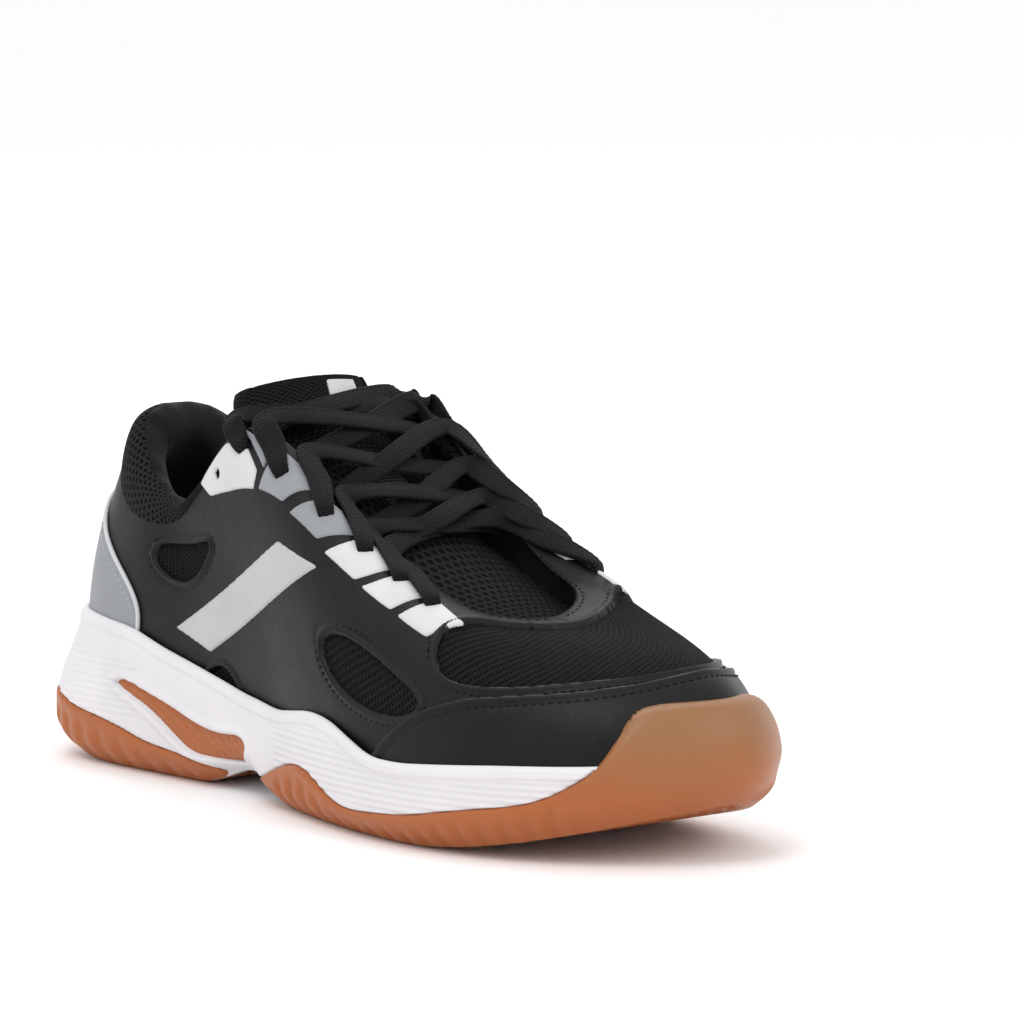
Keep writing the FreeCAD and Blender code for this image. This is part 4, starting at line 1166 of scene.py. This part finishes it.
label = patch_on_tongue("tongue_label_patch", 0.79, 0.885, 0.16, 0.64, 0.7, light_film, None)
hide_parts("tongue_label")
webbing, tree, shader = finish_material("webbing", (0.012, 0.012, 0.013), 0.8, Sheen_Weight=0.08,
                                        Specular_IOR_Level=0.2)
chart = add(tree, "ShaderNodeTexCoord", {})
weft = add(tree, "ShaderNodeVectorMath", {0: chart.outputs["UV"], 1: (2 * math.pi / 0.09, 0, 0)},
           operation="DOT_PRODUCT")
weave = add(tree, "ShaderNodeMath", {0: weft.outputs["Value"]}, operation="COSINE")
shade_between(tree, shader, weave.outputs[0], (0.004, 0.004, 0.0045), (0.013, 0.013, 0.014))
raise_by(tree, shader, weave.outputs[0], 0.0002, 0.8)
loop = patch_on_tongue("tongue_loop_strap", 0.44, 0.545, -0.26, 0.30, 1.6, webbing, "root", 0.12)
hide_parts("tongue_lace_loop")

# ---------------------------------------------------------------- lace
# One flat braided lace, about 8 mm wide: a straight bar at the lowest holes, then each end crosses the tongue
# and goes down through the next hole from above. Its tips are tucked in beside the tongue.
EYELETS = [(0.463, 0.90), (0.520, 0.80), (0.582, 0.755), (0.648, 0.755), (0.712, 0.745), (0.752, 0.70)]
ON_TOP = 3.0
UNDER = -2.6


def rim_place(row, inner, height, reach=2.0):
    """A point at the throat's edge beside a hole, carried on past the edge by reach."""
    w = EYELETS[row][0]
    w = np.array(2 - w if inner else w)
    rim = real(upper_at(w, 1.0))
    onward = rim - real(upper_at(w, 0.97))
    return rim + upper_normal(w, 0.93) * height + onward / np.linalg.norm(onward) * reach, upper_normal(w, 0.93)


def at_hole(row, inner, height, t=None):
    w, t0 = EYELETS[row]
    w = np.array(2 - w if inner else w)
    t = np.array(t0 if t is None else t)
    return shoe_at(w, t, height), upper_normal(w, t)


def half_lace(inner, above):
    """Control points of one half from the bar to its tip: place, flat's normal, width and thickness."""
    rows = []
    flip = 1.0
    for row in range(len(EYELETS) - 1, -1, -1):
        rim, rim_up = rim_place(row, inner, ON_TOP)
        middle, middle_up = at_hole(row, inner, ON_TOP - 0.2, (EYELETS[row][1] + 1) / 2)
        over, over_up = at_hole(row, inner, ON_TOP - 0.9)
        under, _ = at_hole(row, inner, UNDER)
        travel = over - rim
        travel /= np.linalg.norm(travel)
        low_rim, low_up = rim_place(row, inner, UNDER)
        rows += [(rim, rim_up * flip, 7.8, 1.7), (middle, middle_up * flip, 7.8, 1.8),
                 (over, (over_up * 0.5 + travel) * flip, 5.2, 2.4), (under, (travel - over_up * 0.5) * flip, 4.4, 2.6)]
        if row == 0:
            tail, tail_up = at_hole(0, inner, UNDER - 1, 0.80)
            rows.append((tail, -tail_up * flip, 4.0, 2.2))
            return rows
        rows.append((low_rim, -low_up * flip, 6.6, 1.8))
        cross = np.mean([rim_place(r, i, 0.0, 0.0)[0] for r in (row, row - 1) for i in (False, True)], axis=0)
        cross[2] += 4.2 if above else 1.9
        rows.append((cross, np.array([-0.5, 0, -0.86]) * flip, 7.8, 1.7))
        flip = -flip
        inner = not inner


outer_half = half_lace(False, True)
inner_half = half_lace(True, False)
bends = outer_half[::-1] + inner_half
route = np.array([np.concatenate([p, n / np.linalg.norm(n), [b, h]]) for p, n, b, h in bends])


def through(rows, per_run):
    """A smooth curve through every row: a centripetal cubic between each two, from its neighbours."""
    rows = np.concatenate([2 * rows[:1] - rows[1:2], rows, 2 * rows[-1:] - rows[-2:-1]])
    gaps = np.linalg.norm(np.diff(rows[:, :3], axis=0), axis=1) ** 0.5 + 1e-6
    knots = np.concatenate([[0], np.cumsum(gaps)])
    out = []
    for k in range(1, len(rows) - 2):
        t0, t1, t2, t3 = knots[k - 1:k + 3]
        t = np.linspace(t1, t2, per_run[k - 1], endpoint=False)[:, None]
        a1 = rows[k - 1] * (t1 - t) / (t1 - t0) + rows[k] * (t - t0) / (t1 - t0)
        a2 = rows[k] * (t2 - t) / (t2 - t1) + rows[k + 1] * (t - t1) / (t2 - t1)
        a3 = rows[k + 1] * (t3 - t) / (t3 - t2) + rows[k + 2] * (t - t2) / (t3 - t2)
        b1 = a1 * (t2 - t) / (t2 - t0) + a2 * (t - t0) / (t2 - t0)
        b2 = a2 * (t3 - t) / (t3 - t1) + a3 * (t - t1) / (t3 - t1)
        out.append(b1 * (t2 - t) / (t2 - t1) + b2 * (t - t1) / (t2 - t1))
    return np.concatenate(out + [rows[-2:-1]])


lengths = np.linalg.norm(np.diff(route[:, :3], axis=0), axis=1)
path = through(route, np.maximum((lengths / 0.6).astype(int), 3))
spine = path[:, :3]
way = np.gradient(spine, axis=0)
way /= np.linalg.norm(way, axis=1, keepdims=True)
normal = path[:, 3:6]
kernel = np.hanning(13)
kernel /= kernel.sum()
normal = np.stack([np.convolve(np.pad(normal[:, k], 6, mode="edge"), kernel, "valid") for k in range(3)], -1)
normal -= way * (normal * way).sum(1, keepdims=True)
normal /= np.linalg.norm(normal, axis=1, keepdims=True)
wide_way = np.cross(normal, way)
run = np.concatenate([[0], np.cumsum(np.linalg.norm(np.diff(spine, axis=0), axis=1))])
turns = np.linspace(0, 2 * np.pi, 36, endpoint=False)
cosine, sine = np.cos(turns)[None], np.sin(turns)[None]
u = np.sign(cosine) * np.abs(cosine) ** 0.7
v = np.sign(sine) * np.abs(sine) ** 0.55
half_wide, half_thick = path[:, 6:7] / 2, path[:, 7:8] / 2
braid = 0.10 * np.cos(2 * np.pi * (run[:, None] + 2.2 * np.abs(u) * 1.0) / 2.0) * np.abs(v)
ribs = 0.13 * np.cos(2 * np.pi * u * 2.5) * np.abs(v)
lift = half_thick * v + np.sign(v) * (braid + ribs)
place = spine[:, None] + wide_way[:, None] * (half_wide * u)[..., None] + normal[:, None] * lift[..., None]
count, m = len(spine), len(turns)
faces = grid_faces(count, m, False, True)
half_ring = np.arange(m // 2 - 1)
cap = [np.stack([r + half_ring, r + half_ring + 1, r + m - 1 - (half_ring + 1), r + m - 1 - half_ring], -1)
       for r in (0, (count - 1) * m)]
uv = np.stack([np.broadcast_to(run[:, None] * 0.1, (count, m)), half_wide * u * 0.1], -1)
lace = mesh_piece("flat_lace", place.reshape(-1, 3), np.concatenate([faces, cap[0], cap[1][:, ::-1]]),
                  uv=uv.reshape(-1, 2))
turned_out(lace)
lace_braid, tree, shader = finish_material("lace_braid", (0.006, 0.006, 0.0065), 0.72, Sheen_Weight=0.03,
                                           Specular_IOR_Level=0.12)
chart = add(tree, "ShaderNodeTexCoord", {})
slants = []
for lean in (1.0, -1.0):
    way = (2 * math.pi / 0.11, lean * 2 * math.pi / 0.16, 0)
    slant = add(tree, "ShaderNodeVectorMath", {0: chart.outputs["UV"], 1: way}, operation="DOT_PRODUCT")
    slants.append(add(tree, "ShaderNodeMath", {0: slant.outputs["Value"]}, operation="COSINE"))
crossed = add(tree, "ShaderNodeMath", {0: slants[0].outputs[0], 1: slants[1].outputs[0]}, operation="MAXIMUM")
shade_between(tree, shader, crossed.outputs[0], (0.0016, 0.0016, 0.0018), (0.0085, 0.0085, 0.0092), 0.1, 0.9)
raise_by(tree, shader, crossed.outputs[0], 0.00018, 0.8)
lace.data.materials.append(lace_braid)
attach(lace, "root")
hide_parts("lace")

# ---------------------------------------------------------------- inner stiffeners and lace tips
# Plain parts keep their own solids: the board, the shank and two stiffeners lie hidden between the layers, and
# clear film tips are tucked in beside the tongue.
hard_film, tree, shader = finish_material("hard_film", (0.05, 0.05, 0.052), 0.4)
shade_between(tree, shader, grain(tree, 300).outputs["Fac"], (0.04, 0.04, 0.042), (0.06, 0.06, 0.063))
raise_by(tree, shader, grain(tree, 1500).outputs["Fac"], 0.00005, 0.4)
pressed_board, tree, shader = finish_material("pressed_board", (0.42, 0.38, 0.32), 0.85)
shade_between(tree, shader, grain(tree, 500, 5).outputs["Fac"], (0.34, 0.30, 0.25), (0.46, 0.42, 0.36))
raise_by(tree, shader, grain(tree, 1800).outputs["Fac"], 0.00015, 0.6)
for name, look in (("shank_plate", hard_film), ("lace_tip_outer", hard_film), ("lace_tip_inner", hard_film),
                   ("strobel_board", pressed_board), ("heel_counter", pressed_board), ("toe_puff", pressed_board)):
    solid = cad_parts[name]
    solid.data.materials.clear()
    solid.data.materials.append(look)

# ---------------------------------------------------------------- floor, light and camera
# A pale floor, two wide soft lights and a long lens low on the shoe's outer side.
floor_look, tree, shader = finish_material("pale_floor", (0.97, 0.97, 0.97), 0.8)
shade_between(tree, shader, grain(tree, 3).outputs["Fac"], (0.965, 0.965, 0.965), (0.975, 0.975, 0.975))
REACH = 4000.0
corners = np.array([(-REACH, -REACH, -0.3), (REACH, -REACH, -0.3), (REACH, REACH, -0.3), (-REACH, REACH, -0.3)])
ground_plane = mesh_piece("studio_floor", corners, [(0, 1, 2, 3)])
ground_plane.data.materials.append(floor_look)

world = bpy.data.worlds.new("studio")
bpy.context.scene.world = world
world.use_nodes = True
world.node_tree.nodes["Background"].inputs["Color"].default_value = (1, 1, 1, 1)
world.node_tree.nodes["Background"].inputs["Strength"].default_value = 1.0
bpy.context.scene.view_settings.view_transform = "Standard"


def soft_light(name, place, power, wide):
    """A square area light aimed at the shoe's middle; place and width in metres."""
    lamp = bpy.data.lights.new(name, "AREA")
    lamp.energy = power
    lamp.size = wide
    made = bpy.data.objects.new(name, lamp)
    bpy.context.scene.collection.objects.link(made)
    px, py, pz = place
    flat = math.hypot(px, py)
    made.location = place
    made.rotation_euler = (math.atan2(flat, pz - 0.05), 0, math.atan2(px, -py) if flat else 0)
    return made


soft_light("key", (0.25, -0.75, 1.4), 6, 0.7)
soft_light("fill", (1.2, 0.4, 0.9), 3, 0.8)
soft_light("rear", (-0.9, 0.5, 1.2), 4, 0.8)

AZIMUTH = math.radians(51.2)
ELEVATION = math.radians(9.1)
DISTANCE = 2200.0
FOCAL = 7106.0
WIDTH = 1024
aim = np.array([-math.sin(AZIMUTH) * math.cos(ELEVATION), math.cos(AZIMUTH) * math.cos(ELEVATION),
                -math.sin(ELEVATION)])
eye = np.array([0.0, 3.0, 50.0]) - aim * DISTANCE
yaw = AZIMUTH - math.atan(108.0 / FOCAL)
pitch = ELEVATION - math.atan(126.5 / FOCAL)
lens = bpy.data.cameras.new("camera")
lens.sensor_width = 36.0
lens.lens = FOCAL / WIDTH * 36.0
lens.clip_end = 50
camera = bpy.data.objects.new("camera", lens)
bpy.context.scene.collection.objects.link(camera)
camera.location = eye * MM
camera.rotation_euler = (math.pi / 2 - pitch, 0, yaw)
bpy.context.scene.camera = camera
